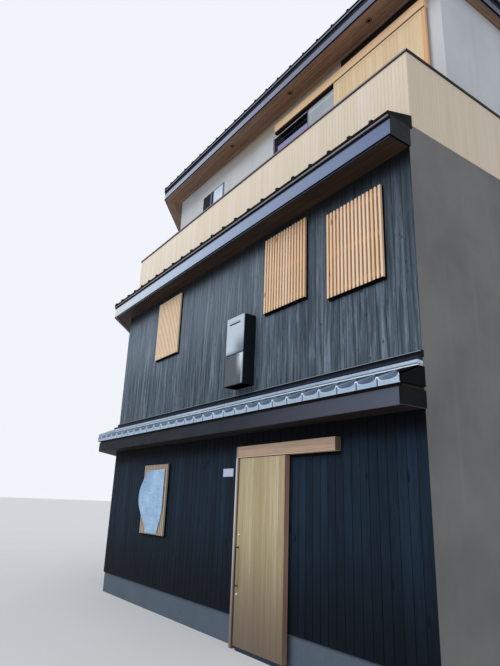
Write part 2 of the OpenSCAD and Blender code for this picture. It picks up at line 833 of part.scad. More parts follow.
// The fascia, with the drip strip along its head
module high_fascia() {
    inner = behind_fascia(high_out);
    color("#4a4d57") set_down() street_side() {
        ring(eaves(high_out), inner, high_fascia_z, high_sheet_z);
        ring(eaves(high_out + drip_out), inner, high_sheet_z - drip_h, high_sheet_z);
    }
}
// The sheet metal on its boarding, over the top of the wall as far as the parapet
module high_roof_sheet() {
    edge_z = high_sheet_z + sheet_t;
    hips = pent_hips(high_reach, -wall_t, edge_z, high_slope);
    color("#2b2d33") set_down() street_side(parapet_in) difference() {
        union() {
            intersection() {
                prism(eaves(high_reach), high_sheet_z, parapet_top);
                under_pent(edge_z, high_slope, high_reach);
            }
            intersection() {
                prism(eaves(high_reach), high_sheet_z, parapet_top);
                hip_caps(hips);
            }
            seams(pent_sides, hips, edge_z, high_slope, high_seam_in, high_seam_pitch);
        }
        prism(plan(parapet_in, parapet_corner_in, parapet_in, 0, 0), 0, big);
        prism(top_body(0), 0, big);
    }
}

module parapet() {
    color("#ead7b4") set_down() difference() {
        ring(plan(parapet_in, parapet_corner_in, parapet_in, 0, 0),
            plan(parapet_in + parapet_t, parapet_corner_in + parapet_t, parapet_in + parapet_t,
                parapet_t, parapet_t),
            deck_top, parapet_top);
        prism(top_body(0), deck_top - eps, parapet_top + eps);
    }
}
module parapet_cap() {
    outer_in = parapet_in - cap_out;
    inner_in = parapet_in + parapet_t + cap_out;
    shift = parapet_corner_in - parapet_in;
    color("#6d6670") set_down() difference() {
        ring(plan(outer_in, outer_in + shift, outer_in, 0, -cap_out),
            plan(inner_in, inner_in + shift, inner_in, parapet_t + cap_out, parapet_t + cap_out),
            parapet_top, parapet_top + cap_h);
        prism(top_body(0), parapet_top - eps, parapet_top + cap_h + eps);
    }
}

module shutter_rail() {
    color("#d9b48c") set_down()
        block(shutter_rail_x, top_back - shutter_rail_d, shutter_rail_z,
            [shutter_x + shutter_w - shutter_rail_x, shutter_rail_d, shutter_rail_h]);
}
module shutter_panel() {
    color("#e2c9a0") set_down()
        block(shutter_x, top_back - shutter_gap - shutter_t, shutter_z,
            [shutter_w, shutter_t, shutter_rail_z - shutter_z]);
}

module top_soffit() {
    color("#6b4f40") set_down() prism(top_eaves(-fascia_t), top_wall_top, top_wall_top + soffit_t);
}
// The fascia, with the drip strip along its head
module top_fascia() {
    inner = top_eaves(-fascia_t);
    color("#4a4d57") set_down() {
        ring(top_eaves(0), inner, top_fascia_z, top_sheet_z);
        ring(top_eaves(drip_out), inner, top_sheet_z - drip_h, top_sheet_z);
    }
}
// The sheet metal on its boarding, hollow above the fascia, with its seams, hips and ridge
module top_roof_sheet() {
    edge_z = top_sheet_z + top_sheet_t;
    hollow_in = 1.5 * fascia_t;
    color("#2b2d33") set_down() {
        difference() {
            intersection() {
                prism(top_edge, top_sheet_z, big);
                under_hip(edge_z, sheet_out);
            }
            under_hip(top_sheet_z, -hollow_in);
        }
        intersection() {
            prism(top_edge, top_sheet_z, big);
            hip_caps(top_hips);
        }
        seams(top_sides, top_hips, edge_z, top_slope, top_seam_in, top_seam_pitch);
    }
}
// Round lights under the front eaves, each a rim round a thin plate
module downlights() {
    back_t = 2;
    color("#1d1a18") set_down()
        for (x = [downlight_x : downlight_pitch : front_w - top_side_back - downlight_r])
            translate([x, top_back - top_out / 2 - downlight_out, top_wall_top - downlight_h]) difference() {
                cylinder(h = downlight_h, r = downlight_r);
                translate([0, 0, -eps])
                    cylinder(h = downlight_h - back_t + eps, r = downlight_r - downlight_rim);
            }
}

module window_frames() {
    color("#b9bcc0") set_down() {
        on_front(behind(ground_places), 0) window_frame(window_w, window_h, 1);
        on_front(behind(upper_places), 0) window_frame(window_w, window_h, 1);
        on_front(small_places, top_back) window_frame(small_window_w, small_window_h, 2);
        on_front(large_places, top_back) window_frame(large_window_w, large_window_h, 2);
        on_left(left_windows) window_frame(plain_window_w, plain_window_h, 2);
        on_left(top_left_windows) window_frame(plain_window_w, plain_window_h, 2);
        on_back(back_windows) window_frame(plain_window_w, plain_window_h, 2);
        on_back(top_back_windows) window_frame(plain_window_w, plain_window_h, 2);
    }
}
module window_glass() {
    color("#7f9bb0", 0.5) set_down() {
        on_front(behind(ground_places), 0) window_panes(window_w, window_h, 1);
        on_front(behind(upper_places), 0) window_panes(window_w, window_h, 1);
        on_front(small_places, top_back) window_panes(small_window_w, small_window_h, 2);
        on_front(large_places, top_back) window_panes(large_window_w, large_window_h, 2);
        on_left(left_windows) window_panes(plain_window_w, plain_window_h, 2);
        on_left(top_left_windows) window_panes(plain_window_w, plain_window_h, 2);
        on_back(back_windows) window_panes(plain_window_w, plain_window_h, 2);
        on_back(top_back_windows) window_panes(plain_window_w, plain_window_h, 2);
    }
}

plinth();
ground_floor();
front_wall_left();
front_wall_right();
front_wall_over_door();
middle_front_wall();
corner_wall();
left_wall();
back_wall();
party_wall();
middle_floor();
top_floor();
top_front_wall();
top_corner_wall();
top_side_walls();
top_back_wall();
door_jamb();
door_header();
sliding_door();
door_pull();
door_locks();
blank_plate();
ground_lattice();
hung_sheet();
left_lattice();
middle_lattice();
right_lattice();
low_roof_frame();
low_roof_trim();
low_roof_tiles();
heater_casing();
heater_covers();
high_roof_frame();
high_fascia();
high_roof_sheet();
parapet();
parapet_cap();
shutter_rail();
shutter_panel();
top_soffit();
top_fascia();
top_roof_sheet();
downlights();
window_frames();
window_glass();
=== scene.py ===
import math
import random

import bmesh
import bpy
from mathutils import Matrix, Vector


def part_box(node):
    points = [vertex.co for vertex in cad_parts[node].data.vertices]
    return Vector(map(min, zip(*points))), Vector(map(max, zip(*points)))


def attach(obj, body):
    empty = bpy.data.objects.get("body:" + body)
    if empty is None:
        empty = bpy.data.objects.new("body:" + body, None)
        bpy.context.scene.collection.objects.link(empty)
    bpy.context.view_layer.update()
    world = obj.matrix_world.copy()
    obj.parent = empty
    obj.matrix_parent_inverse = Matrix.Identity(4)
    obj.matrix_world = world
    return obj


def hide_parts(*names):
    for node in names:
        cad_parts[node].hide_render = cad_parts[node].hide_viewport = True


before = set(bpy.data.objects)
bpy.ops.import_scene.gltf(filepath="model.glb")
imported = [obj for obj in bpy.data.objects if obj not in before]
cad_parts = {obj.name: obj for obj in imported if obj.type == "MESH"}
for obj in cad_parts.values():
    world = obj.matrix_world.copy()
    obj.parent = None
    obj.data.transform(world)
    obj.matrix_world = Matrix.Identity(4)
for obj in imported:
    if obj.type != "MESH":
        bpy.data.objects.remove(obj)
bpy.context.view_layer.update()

# A three-storey timber townhouse on a street corner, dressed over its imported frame. Metres throughout.
# Survey coordinates: X runs along the street front from its left corner, Y into the house from the
# front wall's face, Z up from the ground. The frame's own origin is the middle of the footprint.

# Plan of the house, as in the part's source
FRONT_W, HOUSE_D = 7.440, 7.600
CORNER_TURN = math.radians(40)
LEFT_X = -2.400 * math.cos(CORNER_TURN)
ROOF_SIDE = 0.018
TOP_BACK, TOP_CORNER_BACK, TOP_SIDE_BACK = 1.030, 0.716, 0.150
PARAPET_IN, PARAPET_CORNER_IN, PARAPET_T = 0.040, 0.140, 0.100
LOW_OUT, LOW_REACH, HIGH_OUT = 0.327, 0.362, 0.320
TOP_OUT, TOP_REAR_OUT, TOP_PARTY_IN = 0.408, 0.300, 0.007
FASCIA_T = 0.020
DOOR_X, DOOR_FACE, DOOR_Z = 4.567, 0.083, 0.041
DOOR_H, DOOR_T = 2.152, 0.068

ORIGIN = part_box("sliding_door")[0] - Vector((DOOR_X, -DOOR_FACE, DOOR_Z))
SIDE_TURNS = [0.0, math.radians(270), math.radians(180), math.radians(90), CORNER_TURN]
FRONT, PARTY, BACK, LEFT, CORNER = range(5)
STREET = (FRONT, CORNER, LEFT)
X, Y, Z = range(3)
chance = random.Random(7)
FINISHES = {}


def survey_box(node):
    """The lowest and highest corner of a CAD node in survey coordinates."""
    low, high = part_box(node)
    return low - ORIGIN, high - ORIGIN


def foot(node):
    return survey_box(node)[0].z


def head(node):
    return survey_box(node)[1].z


def plan(front, corner, left, back, party):
    """Corners of the footprint, each side moved inward by its own amount."""
    s, c = math.sin(CORNER_TURN), math.cos(CORNER_TURN)
    return [((corner - front * c) / s, front), (FRONT_W - party, front),
            (FRONT_W - party, HOUSE_D - back), (LEFT_X + left, HOUSE_D - back),
            (LEFT_X + left, (corner - (LEFT_X + left) * s) / c)]


def eaves(out):
    """Edge of a pent roof that reaches out over the street sides and stops at the back."""
    return plan(-out, -out, -out, 0, -ROOF_SIDE)


def top_eaves(out, hidden=None):
    """Edge of the top roof, moved outward, and by another amount at the back and the party line."""
    hidden = out if hidden is None else hidden
    return plan(TOP_BACK - TOP_OUT - out, TOP_CORNER_BACK - TOP_OUT - out, -TOP_REAR_OUT - out,
                -TOP_REAR_OUT - hidden, TOP_PARTY_IN - hidden)


def side_frame(side):
    """Turns a side's own coordinates (along it, into the house, up) into survey coordinates."""
    return Matrix.Rotation(-SIDE_TURNS[side], 4, "Z")


def side_line(points, side):
    """Where one side of a plan lies in that side's own coordinates: its start, its end and its depth."""
    s, c = math.sin(SIDE_TURNS[side]), math.cos(SIDE_TURNS[side])
    start, end = points[side], points[(side + 1) % 5]
    return start[0] * c - start[1] * s, end[0] * c - end[1] * s, start[0] * s + start[1] * c


WALLS = plan(0, 0, 0, 0, 0)

# Frames for bars and turned parts, by where their length points
UPRIGHT = Matrix.Identity(4)
LYING = Matrix(((0, 0, 1, 0), (0, 1, 0, 0), (-1, 0, 0, 0), (0, 0, 0, 1)))
OUTWARD = Matrix.Rotation(math.radians(90), 4, "X")
DOWNWARD = Matrix.Rotation(math.pi, 4, "X")


# Solids

def rect(x0, x1, y0, y1):
    return [(x0, y0), (x1, y0), (x1, y1), (x0, y1)]


def bevelled(x0, x1, y0, y1, c):
    """A rectangle with its four corners cut."""
    if not c:
        return rect(x0, x1, y0, y1)
    return [(x0 + c, y0), (x1 - c, y0), (x1, y0 + c), (x1, y1 - c), (x1 - c, y1), (x0 + c, y1),
            (x0, y1 - c), (x0, y0 + c)]


def board(x0, x1, front, back, c):
    """A board's profile, with its two outer edges cut. Its front is towards -Y."""
    return [(x0, front + c), (x0 + c, front), (x1 - c, front), (x1, front + c), (x1, back), (x0, back)]


def loft(rings):
    """Points and faces of a closed solid through a row of rings with as many points each."""
    n, last = len(rings[0]), len(rings) - 1
    faces = [list(range(n - 1, -1, -1)), list(range(last * n, last * n + n))]
    faces += [[j * n + i, j * n + (i + 1) % n, (j + 1) * n + (i + 1) % n, (j + 1) * n + i]
              for j in range(last) for i in range(n)]
    return [p for ring in rings for p in ring], faces


def spaced(start, end, count, gap):
    """The edges of boards side by side from start to end, with half a gap beside each edge."""
    step = (end - start) / count
    for i in range(count):
        a = start + i * step
        yield a + gap / 2, a + step - gap / 2


class Build:
    """Gathers the solids of one piece, with each point's place along its own grain and its tone."""

    def __init__(self):
        self.points, self.faces, self.grain, self.tones, self.rounded = [], [], [], [], []

    def solid(self, shape, place=UPRIGHT, tone=None, rounded=False, grain=None):
        points, faces = shape
        first = len(self.points)
        shift = Vector([chance.uniform(0, 40) for _ in range(3)])
        tone = chance.random() if tone is None else tone
        self.points += [place @ Vector(p) + ORIGIN for p in points]
        self.grain += [Vector(g) + shift for g in grain or points]
        self.tones += tone if isinstance(tone, list) else [tone] * len(points)
        self.faces += [[first + i for i in face] for face in faces]
        self.rounded += [rounded] * len(faces)

    def bar(self, profile, start, end, place=UPRIGHT, tone=None):
        """A straight bar of one profile, whose points run anticlockwise, from start to end."""
        self.solid(loft([[(x, y, z) for x, y in profile] for z in (start, end)]), place, tone)

    def post(self, x0, x1, y0, y1, z0, z1, bevel=0, place=UPRIGHT, tone=None):
        """An upright box in a side's coordinates, its long edges bevelled."""
        self.bar(bevelled(x0, x1, y0, y1, bevel), z0, z1, place, tone)

    def beam(self, x0, x1, y0, y1, z0, z1, bevel=0, place=UPRIGHT, tone=None):
        """A box that lies along a side, its long edges bevelled."""
        self.bar(bevelled(-z1, -z0, y0, y1, bevel), x0, x1, place @ LYING, tone)

    def rim(self, x0, x1, y0, y1, z0, z1, wide, bevel=0, place=UPRIGHT):
        """A frame of two posts with two beams between them."""
        for x in (x0, x1 - wide):
            self.post(x, x + wide, y0, y1, z0, z1, bevel, place)
        for z in (z0, z1 - wide):
            self.beam(x0 + wide, x1 - wide, y0, y1, z, z + wide, bevel, place)

    def strip(self, outer, inner, side, low, high, tone=None):
        """One mitred length of a band round the house between two plans, its grain along that side."""
        j = (side + 1) % 5
        outline = [outer[side], outer[j], inner[j], inner[side]]
        shape = loft([[(x, y, z) for x, y in outline] for z in (low, high)])
        s, c = math.sin(SIDE_TURNS[side]), math.cos(SIDE_TURNS[side])
        self.solid(shape, tone=tone, grain=[(x * s + y * c, z, x * c - y * s) for x, y, z in shape[0]])

    def sheet(self, rows, thickness, normal, place=UPRIGHT, tone=None):
        """A thin shell: a grid of points and the same grid moved back along one direction."""
        across, n = len(rows[0]), len(rows[0]) * len(rows)
        top = [Vector(p) for row in rows for p in row]
        faces = []
        for a in range(n - across):
            if a % across < across - 1:
                faces.append([a, a + 1, a + 1 + across, a + across])
                faces.append([n + a, n + a + across, n + a + 1 + across, n + a + 1])
        edge = list(range(across)) + list(range(2 * across - 1, n, across))
        edge += list(range(n - 2, n - across - 1, -1)) + list(range(n - 2 * across, 0, -across))
        faces += [[p + n, q + n, q, p] for p, q in zip(edge, edge[1:] + edge[:1])]
        points = top + [p - Vector(normal) * thickness for p in top]
        self.solid((points, faces), place, tone * 2 if isinstance(tone, list) else tone, True)

    def turned(self, centre, axis_frame, outline, steps=24, tone=None):
        """A turned part: places along its axis with their radii, closed at both ends."""
        turns = [2 * math.pi * i / steps for i in range(steps)]
        rings = [[(r * math.cos(t), r * math.sin(t), place) for t in turns] for place, r in outline]
        self.solid(loft(rings), Matrix.Translation(Vector(centre)) @ axis_frame, tone, True)

    def piece(self, name, finish, slot, body="house", replaces=()):
        """Makes the solids one piece of the house, in a material and on a body."""
        mesh = bpy.data.meshes.new(name)
        mesh.from_pydata(self.points, [], self.faces)
        grain = mesh.attributes.new("grain", "FLOAT_VECTOR", "POINT")
        grain.data.foreach_set("vector", [v for g in self.grain for v in g])
        tone = mesh.attributes.new("tone", "FLOAT", "POINT")
        tone.data.foreach_set("value", self.tones)
        mesh.polygons.foreach_set("use_smooth", self.rounded)
        if any(self.rounded):
            mesh.set_sharp_from_angle(angle=math.radians(35))
        mesh.materials.append(FINISHES[finish])
        obj = bpy.data.objects.new(name, mesh)
        bpy.context.scene.collection.objects.link(obj)
        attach(obj, body)
        if replaces:
            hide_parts(*replaces)
        return obj


# Shader values

def maths(operation, reflected=False):
    """A Python operator that adds one maths node."""
    def method(self, other):
        first, second = (other, self) if reflected else (self, other)
        return self.nodes.node("Math", {0: first, 1: second}, operation=operation)
    return method


class Value:
    """A shader socket. Using it in an expression adds the maths nodes for it."""

    def __init__(self, nodes, socket):
        self.nodes, self.socket = nodes, socket

    __add__, __radd__ = maths("ADD"), maths("ADD", True)
    __sub__, __rsub__ = maths("SUBTRACT"), maths("SUBTRACT", True)
    __mul__, __rmul__ = maths("MULTIPLY"), maths("MULTIPLY", True)
    __truediv__ = maths("DIVIDE")
    __gt__ = maths("GREATER_THAN")


def colour(code):
    """A linear colour from the six hex digits in which it shows on a screen."""
    parts = [int(code[i:i + 2], 16) / 255 for i in (0, 2, 4)]
    return tuple(p / 12.92 if p <= 0.04045 else ((p + 0.055) / 1.055) ** 2.4 for p in parts) + (1,)


class Nodes:
    """A node tree in the making. Colours are given as hex digits."""

    def __init__(self, tree):
        self.tree = tree

    def feed(self, socket, value):
        if isinstance(value, Value):
            self.tree.links.new(value.socket, socket)
        else:
            socket.default_value = colour(value) if isinstance(value, str) else value

    def node(self, kind, inputs, output=0, **settings):
        """Any node: its settings are set first, then its sockets are given values or links."""
        made = self.tree.nodes.new("ShaderNode" + kind)
        for key, value in settings.items():
            setattr(made, key, value)
        for key, value in inputs.items():
            self.feed(made.inputs[key], value)
        return Value(self, made.outputs[output])


class Finish(Nodes):
    """A material in the making: one Principled shader and the nodes that feed it."""

    def __init__(self, name, **fixed):
        FINISHES[name] = bpy.data.materials.new(name)
        FINISHES[name].use_nodes = True
        super().__init__(FINISHES[name].node_tree)
        self.shader = self.tree.nodes["Principled BSDF"]
        for key, value in fixed.items():
            self.feed(self.shader.inputs[key.replace("_", " ").title().replace("Ior", "IOR")], value)

    def own_grain(self):
        return self.node("Attribute", {}, 1, attribute_name="grain")

    def tone(self):
        return self.node("Attribute", {}, 2, attribute_name="tone")

    def place(self):
        return self.node("TexCoord", {}, 3)

    def axis(self, vector, which):
        return self.node("SeparateXYZ", {0: vector}, which)

    def survey(self, axis):
        """One survey coordinate of the point that is shaded."""
        return self.axis(self.place(), axis) - ORIGIN[axis]

    def scaled(self, vector, scale):
        """A vector and one scale for it, once a scale for each axis is worked in."""
        if isinstance(scale, tuple):
            return self.node("VectorMath", {0: vector, 1: scale}, operation="MULTIPLY"), 1.0
        return vector, scale

    def noise(self, vector, scale, detail=4.0, rough=0.55, distortion=0.0):
        vector, scale = self.scaled(vector, scale)
        return self.node("TexNoise", {"Vector": vector, "Scale": scale, "Detail": detail,
                                      "Roughness": rough, "Distortion": distortion})

    def cells(self, vector, scale):
        vector, scale = self.scaled(vector, scale)
        return self.node("TexVoronoi", {"Vector": vector, "Scale": scale})

    def fade(self, value, low, high, to_low=0.0, to_high=1.0):
        """Runs smoothly from to_low to to_high as a value goes from low to high."""
        return self.node("MapRange", {0: value, 1: low, 2: high, 3: to_low, 4: to_high},
                         interpolation_type="SMOOTHSTEP")

    def ramp(self, value, shades, places=None):
        """Runs through colours as a value goes from 0 to 1, evenly or at their own places."""
        made = self.node("ValToRGB", {0: value})
        stops = made.socket.node.color_ramp.elements
        while len(stops) < len(shades):
            stops.new(0.5)
        for i, (stop, shade) in enumerate(zip(stops, shades)):
            stop.position = places[i] if places else i / (len(shades) - 1)
            stop.color = colour(shade)
        return made

    def mix(self, factor, a, b):
        return self.node("Mix", {0: factor, 6: a, 7: b}, 2, data_type="RGBA", blend_type="MIX")

    def veiled(self, shade, veils):
        """Lays soft veils of another colour over a colour, by place on the house: mostly painted shade and
        painted light. Each has its strength, its colour and, for every axis that it changes along, the place
        where it starts and the place where it is full."""
        for strength, code, *spans in veils:
            for axis, start, full in spans:
                strength = self.fade(self.survey(axis), start, full) * strength
            shade = self.mix(strength, shade, code)
        return shade

    def done(self, base, rough, height, depth):
        """Feeds the shader its colour, its roughness and its relief."""
        normal = self.node("Bump", {"Strength": 1.0, "Distance": depth, "Height": height})
        for socket, value in (("Base Color", base), ("Roughness", rough), ("Normal", normal)):
            self.feed(self.shader.inputs[socket], value)


# Materials

def timber(name, palette, pore=0.0006, knot=None, rough=(0.55, 0.75), along=None, weather=None, spec=0.35,
           contrast=0.55, knots=(5.2, 5.2, 2.0), veils=()):
    """Planed or stained wood. Its grain runs along each piece, or along X or Z on a CAD solid.

    palette: the darkest, the middle and the palest tone of the pieces, and the dark grain's colour;
    pore: depth of the grain's relief; knot: colour of the knots; knots: how close they lie along each axis;
    weather: colour of the pale wear; veils: soft changes of colour over the house, mostly painted shade and
    painted light."""
    *shades, streak = palette.split()
    f = Finish(name, specular_ior_level=spec)
    grain = f.place() if along else f.own_grain()
    if along == "x":
        grain = f.node("Mapping", {"Vector": grain, "Rotation": (0, math.radians(90), 0)})
    tone = f.noise(grain, (0.7, 0.7, 0.05), 1.0) if along else f.tone()
    bands = f.noise(grain, (30, 30, 0.9), 3.0, 0.6, 0.4)
    fibres = f.noise(grain, (210, 210, 5), 3.0, 0.65)
    shade = f.mix(f.fade(bands, 0.38, 0.66) * contrast, f.ramp(tone, shades), streak)
    shade = f.mix(f.fade(fibres, 0.42, 0.7) * 0.35, shade, streak)
    height = fibres + bands * 0.6
    if weather:
        patches = f.noise(grain, (22, 22, 1.6), 4.0, 0.65)
        flecks = f.noise(grain, (60, 60, 16), 2.0, 0.6)
        shade = f.mix(f.fade(patches, 0.5, 0.7) * f.fade(fibres, 0.3, 0.6) * 0.75, shade, weather)
        shade = f.mix(f.fade(flecks, 0.56, 0.74) * contrast * 0.6, shade, streak)
    if knot:
        heart = f.fade(f.cells(grain, knots), 0.06, 0.13, 1.0, 0.0)
        shade = f.mix(heart * 0.8, shade, knot)
        height = height - heart * 0.5
    f.done(f.veiled(shade, veils), f.fade(fibres, 0.3, 0.7, *rough), height, pore)


def cast_concrete(name, deep, pale, gravel):
    f = Finish(name, specular_ior_level=0.2)
    place = f.place()
    clouds = f.noise(place, 1.7, 5.0, 0.6)
    grit = f.noise(place, 140.0, 2.0, 0.6)
    pits = f.fade(f.cells(place, 24.0), 0.05, 0.12, 1.0, 0.0) * f.fade(f.noise(place, 9.0, 1.0), 0.5, 0.6)
    shade = f.mix(f.fade(grit, 0.5, 0.75) * 0.3, f.mix(clouds, deep, pale), gravel)
    f.done(f.mix(pits * 0.7, shade, "39424b"), f.fade(clouds, 0.3, 0.7, 0.75, 0.92),
           grit * 0.4 - pits, 0.002)


def render_coat(name, shade, deep, coarse, veils=()):
    """Fine sprayed render on a wall, with faint clouds and rain marks."""
    f = Finish(name, specular_ior_level=0.25)
    place = f.place()
    grit = f.noise(place, 190.0, 3.0, 0.7)
    marks = f.noise(place, (5.0, 5.0, 0.35), 4.0, 0.6)
    tone = f.mix(f.fade(f.noise(place, 0.9, 4.0, 0.55), 0.3, 0.7), shade, deep)
    tone = f.mix(f.fade(marks, 0.55, 0.8) * 0.25, tone, "8f8d88")
    f.done(f.veiled(tone, veils), f.fade(grit, 0.3, 0.7, 0.8, 0.95), grit, coarse)


def coated_metal(name, shade, pale, rough=0.5, metallic=0.0, spec=0.2, sweep=None, high=None):
    """Sheet metal with a baked coat: faint dents, dust in streaks, half gloss.

    sweep: painted sheen, colours along the street front, from its left end to the party line; high: the
    height from which a second colour takes over. The cut end at the party line is painted near black as
    shade."""
    f = Finish(name, metallic=metallic, specular_ior_level=spec)
    place = f.place()
    dents = f.noise(place, (1.6, 1.6, 3.0), 2.0)
    dust = f.noise(place, (3.0, 3.0, 9.0), 5.0, 0.65)
    speck = f.noise(place, 320.0, 2.0)
    tone = f.mix(f.fade(dust, 0.4, 0.75) * 0.6, shade, pale)
    tone = f.mix(f.fade(speck, 0.55, 0.75) * 0.15, tone, pale)
    # Painted sheen: the coat turns paler or darker along the street front.
    if sweep:
        tone = f.mix(0.9, tone, f.ramp(f.survey(X) / FRONT_W, sweep.split()))
    if high:
        tone = f.mix(f.axis(place, Z) > high[0] + ORIGIN.z, tone, high[1])
    # The cut end at the party line: painted shade.
    tone = f.mix(f.axis(place, X) > FRONT_W + 0.0165 + ORIGIN.x, tone, "04070b")
    f.done(tone, f.fade(dust, 0.35, 0.75, rough, rough + 0.2), dents + speck * 0.02, 0.002)


def fired_tile():
    f = Finish("silver_grey_tile", specular_ior_level=0.35, metallic=0.15)
    grain, tone = f.own_grain(), f.tone()
    smoke = f.noise(grain, 9.0, 5.0, 0.6)
    grit = f.noise(grain, 260.0, 2.0)
    # The lowest tones are painted shade in the troughs, the highest painted highlight on the rolls.
    shade = f.ramp(tone, ("0e1926", "3c4a62", "586d88", "90a5bb", "b2c5da", "e6f2fa"),
                   (0.0, 0.12, 0.28, 0.55, 0.8, 1.0))
    # Smoke and grit stay off the darkest tones, which are painted shade.
    outside_painted_shade = f.fade(tone, 0.02, 0.25)
    shade = f.mix(f.fade(smoke, 0.35, 0.75) * 0.35 * outside_painted_shade, shade, "7a8b9e")
    shade = f.mix(f.fade(grit, 0.6, 0.8) * 0.25 * outside_painted_shade, shade, "5c6a7c")
    f.done(shade, f.fade(smoke, 0.3, 0.7, 0.3, 0.5), smoke * 0.5 + grit * 0.15, 0.0012)


def cotton():
    f = Finish("pale_blue_cotton", specular_ior_level=0.15, sheen_weight=0.3, sheen_roughness=0.5)
    grain = f.own_grain()
    weave = f.noise(grain, (900, 900, 900), 1.0)
    crinkle = f.noise(grain, (7, 7, 52), 4.0, 0.6, 0.6)
    shade = f.mix(f.fade(f.noise(grain, 5.0, 3.0), 0.3, 0.7), "8fb2d6", "a8c8e8")
    # Painted fold light and shade: paler on the crinkles' tops and darker in their hollows.
    shade = f.mix(f.fade(crinkle, 0.5, 0.72) * 0.55, shade, "b8cfe4")
    shade = f.mix(f.fade(crinkle, 0.34, 0.48, 1.0, 0.0) * 0.5, shade, "7699be")
    # Painted shade on the upper left of the billow.
    shade = f.veiled(shade, [(0.5, "6c8cae", (X, 2.08, 1.82), (Z, 1.55, 1.95))])
    f.done(shade, f.fade(weave, 0.3, 0.7, 0.8, 0.95), crinkle + weave * 0.08, 0.006)


def dark_paint(name, shade, pale, rough=0.5, spec=0.3):
    f = Finish(name, specular_ior_level=spec)
    place = f.place()
    wear = f.noise(place, 12.0, 5.0, 0.65)
    f.done(f.mix(f.fade(wear, 0.45, 0.8) * 0.6, shade, pale), f.fade(wear, 0.3, 0.7, rough, rough + 0.2),
           f.noise(place, 240.0, 2.0), 0.0004)


def silver_cover():
    """Brushed covers of the heater, with painted reflections: the upper bright, darker low on its right and
    at its foot; the lower dark but for a painted bright patch at its top right and a bright streak down its
    right edge."""
    low, high = survey_box("heater_covers")
    split = low.z + 0.442
    f = Finish("silver_cover", metallic=0.25, specular_ior_level=0.5)
    x, z = f.survey(X), f.survey(Z)
    brush = f.noise(f.place(), (60, 60, 2.2), 2.0)
    # Painted reflection: the upper cover darkens low on its right.
    dull = f.fade(x, low.x + 0.12, high.x - 0.06) * f.fade(z, split + 0.05, split + 0.34, 1.0, 0.0) * 0.85
    upper = f.mix(dull, "bac8d6", "434a62")
    # Painted shade along the upper cover's foot, over the seam.
    upper = f.mix(f.fade(z, split, split + 0.07, 0.7, 0.0), upper, "474e56")
    # Painted reflection: a bright patch on the lower cover's top right.
    painted_glint = f.fade(x, low.x + 0.25, high.x - 0.01) * f.fade(z, split - 0.36, split - 0.04)
    lower = f.mix(painted_glint, "2c3843", "dfe9f0")
    # Painted highlight: a bright streak down the lower cover's right edge.
    lower = f.mix(f.fade(x, high.x - 0.040, high.x - 0.025) * 0.6, lower, "a4b0ba")
    shade = f.mix(f.tone() > 0.5, lower, upper)
    f.done(f.mix(brush * 0.15, shade, "a4adb4"), f.fade(brush, 0.3, 0.7, 0.34, 0.46), brush, 0.0002)


def lock_plating():
    f = Finish("worn_nickel", metallic=1.0)
    wear = f.noise(f.place(), 60.0, 4.0)
    f.done(f.mix(f.fade(wear, 0.4, 0.7), "dcd8cc", "b3ad9f"), f.fade(wear, 0.3, 0.7, 0.22, 0.4), wear, 0.0003)


def plate_plastic():
    f = Finish("pale_plate", specular_ior_level=0.5)
    haze = f.noise(f.place(), 22.0, 3.0)
    f.done(f.mix(haze, "a9b1cf", "bcc2de"), f.fade(haze, 0.3, 0.7, 0.3, 0.45), haze, 0.0003)


def pane(name, tint, haze, gloss, rough=0.03, clear=1.0, sheen="ffffff", veils=()):
    """Window glass: a dark or pale glossy pane, of which a share lets light through. The palest is a painted
    reflection of the sky, and a veil paints light over part of one.
    """
    f = Finish(name, ior=gloss, alpha=clear, specular_tint=sheen)
    smear = f.noise(f.place(), 3.0, 3.0)
    shade = f.veiled(f.mix(f.fade(smear, 0.35, 0.7), tint, haze), veils)
    f.done(shade, f.fade(smear, 0.4, 0.8, rough, rough + 0.06), smear, 0.0002)


PLANED = (0.5, 0.65)
# On the ground floor's boards: a painted shadow band under the low eaves, kept off the back wall, and the
# boards darker towards the foot.
timber("dark_boards", "14212e 182836 1e2f40 0d1720", 0.0012, "060a10", (0.6, 0.8), weather="1f2e3d",
       spec=0.08, contrast=0.5,
       veils=[(0.95, "020408", (Z, 2.22, 2.43), (Y, 7.55, 7.3)), (0.8, "060a10", (Z, 1.6, 0.4))])
# On the middle storey's boards: painted light, paler in the upper half towards the left end; painted shade,
# darker high up towards the party line; and a painted shadow band under the high eaves, kept off the back
# wall.
timber("grey_boards", "4b5965 5a6976 6b7987 2b3742", 0.0018, "1f2830", (0.6, 0.8), weather="8694a0",
       spec=0.2, contrast=1.0, knots=(8.0, 8.0, 5.0),
       veils=[(0.25, "94a3b2", (Z, 3.5, 4.6), (X, 6.6, 3.4)), (0.7, "27323d", (Z, 3.7, 5.0), (X, 5.0, 7.3)),
              (0.93, "040506", (Z, 5.02, 5.25), (Y, 7.55, 7.3))])
# The parapet's boards are darker towards the party line.
timber("parapet_cedar", "ebdec8 f0e4d2 f4e9de e1cfb5", rough=PLANED, contrast=0.4,
       veils=[(0.5, "bfae96", (X, 0.6, 7.4))])
# Painted light makes the upper lattices paler towards the left end; the ground floor's lattice is darker and
# greyer.
timber("lattice_cedar", "e8c49c eecfae f3dabe d8aa7c", knot="8a5c3c", rough=(0.45, 0.6), contrast=0.3,
       veils=[(0.6, "ffe8c8", (X, 5.0, 1.6), (Z, 2.6, 3.6)), (0.85, "ac9f8e", (Z, 2.6, 2.3))])
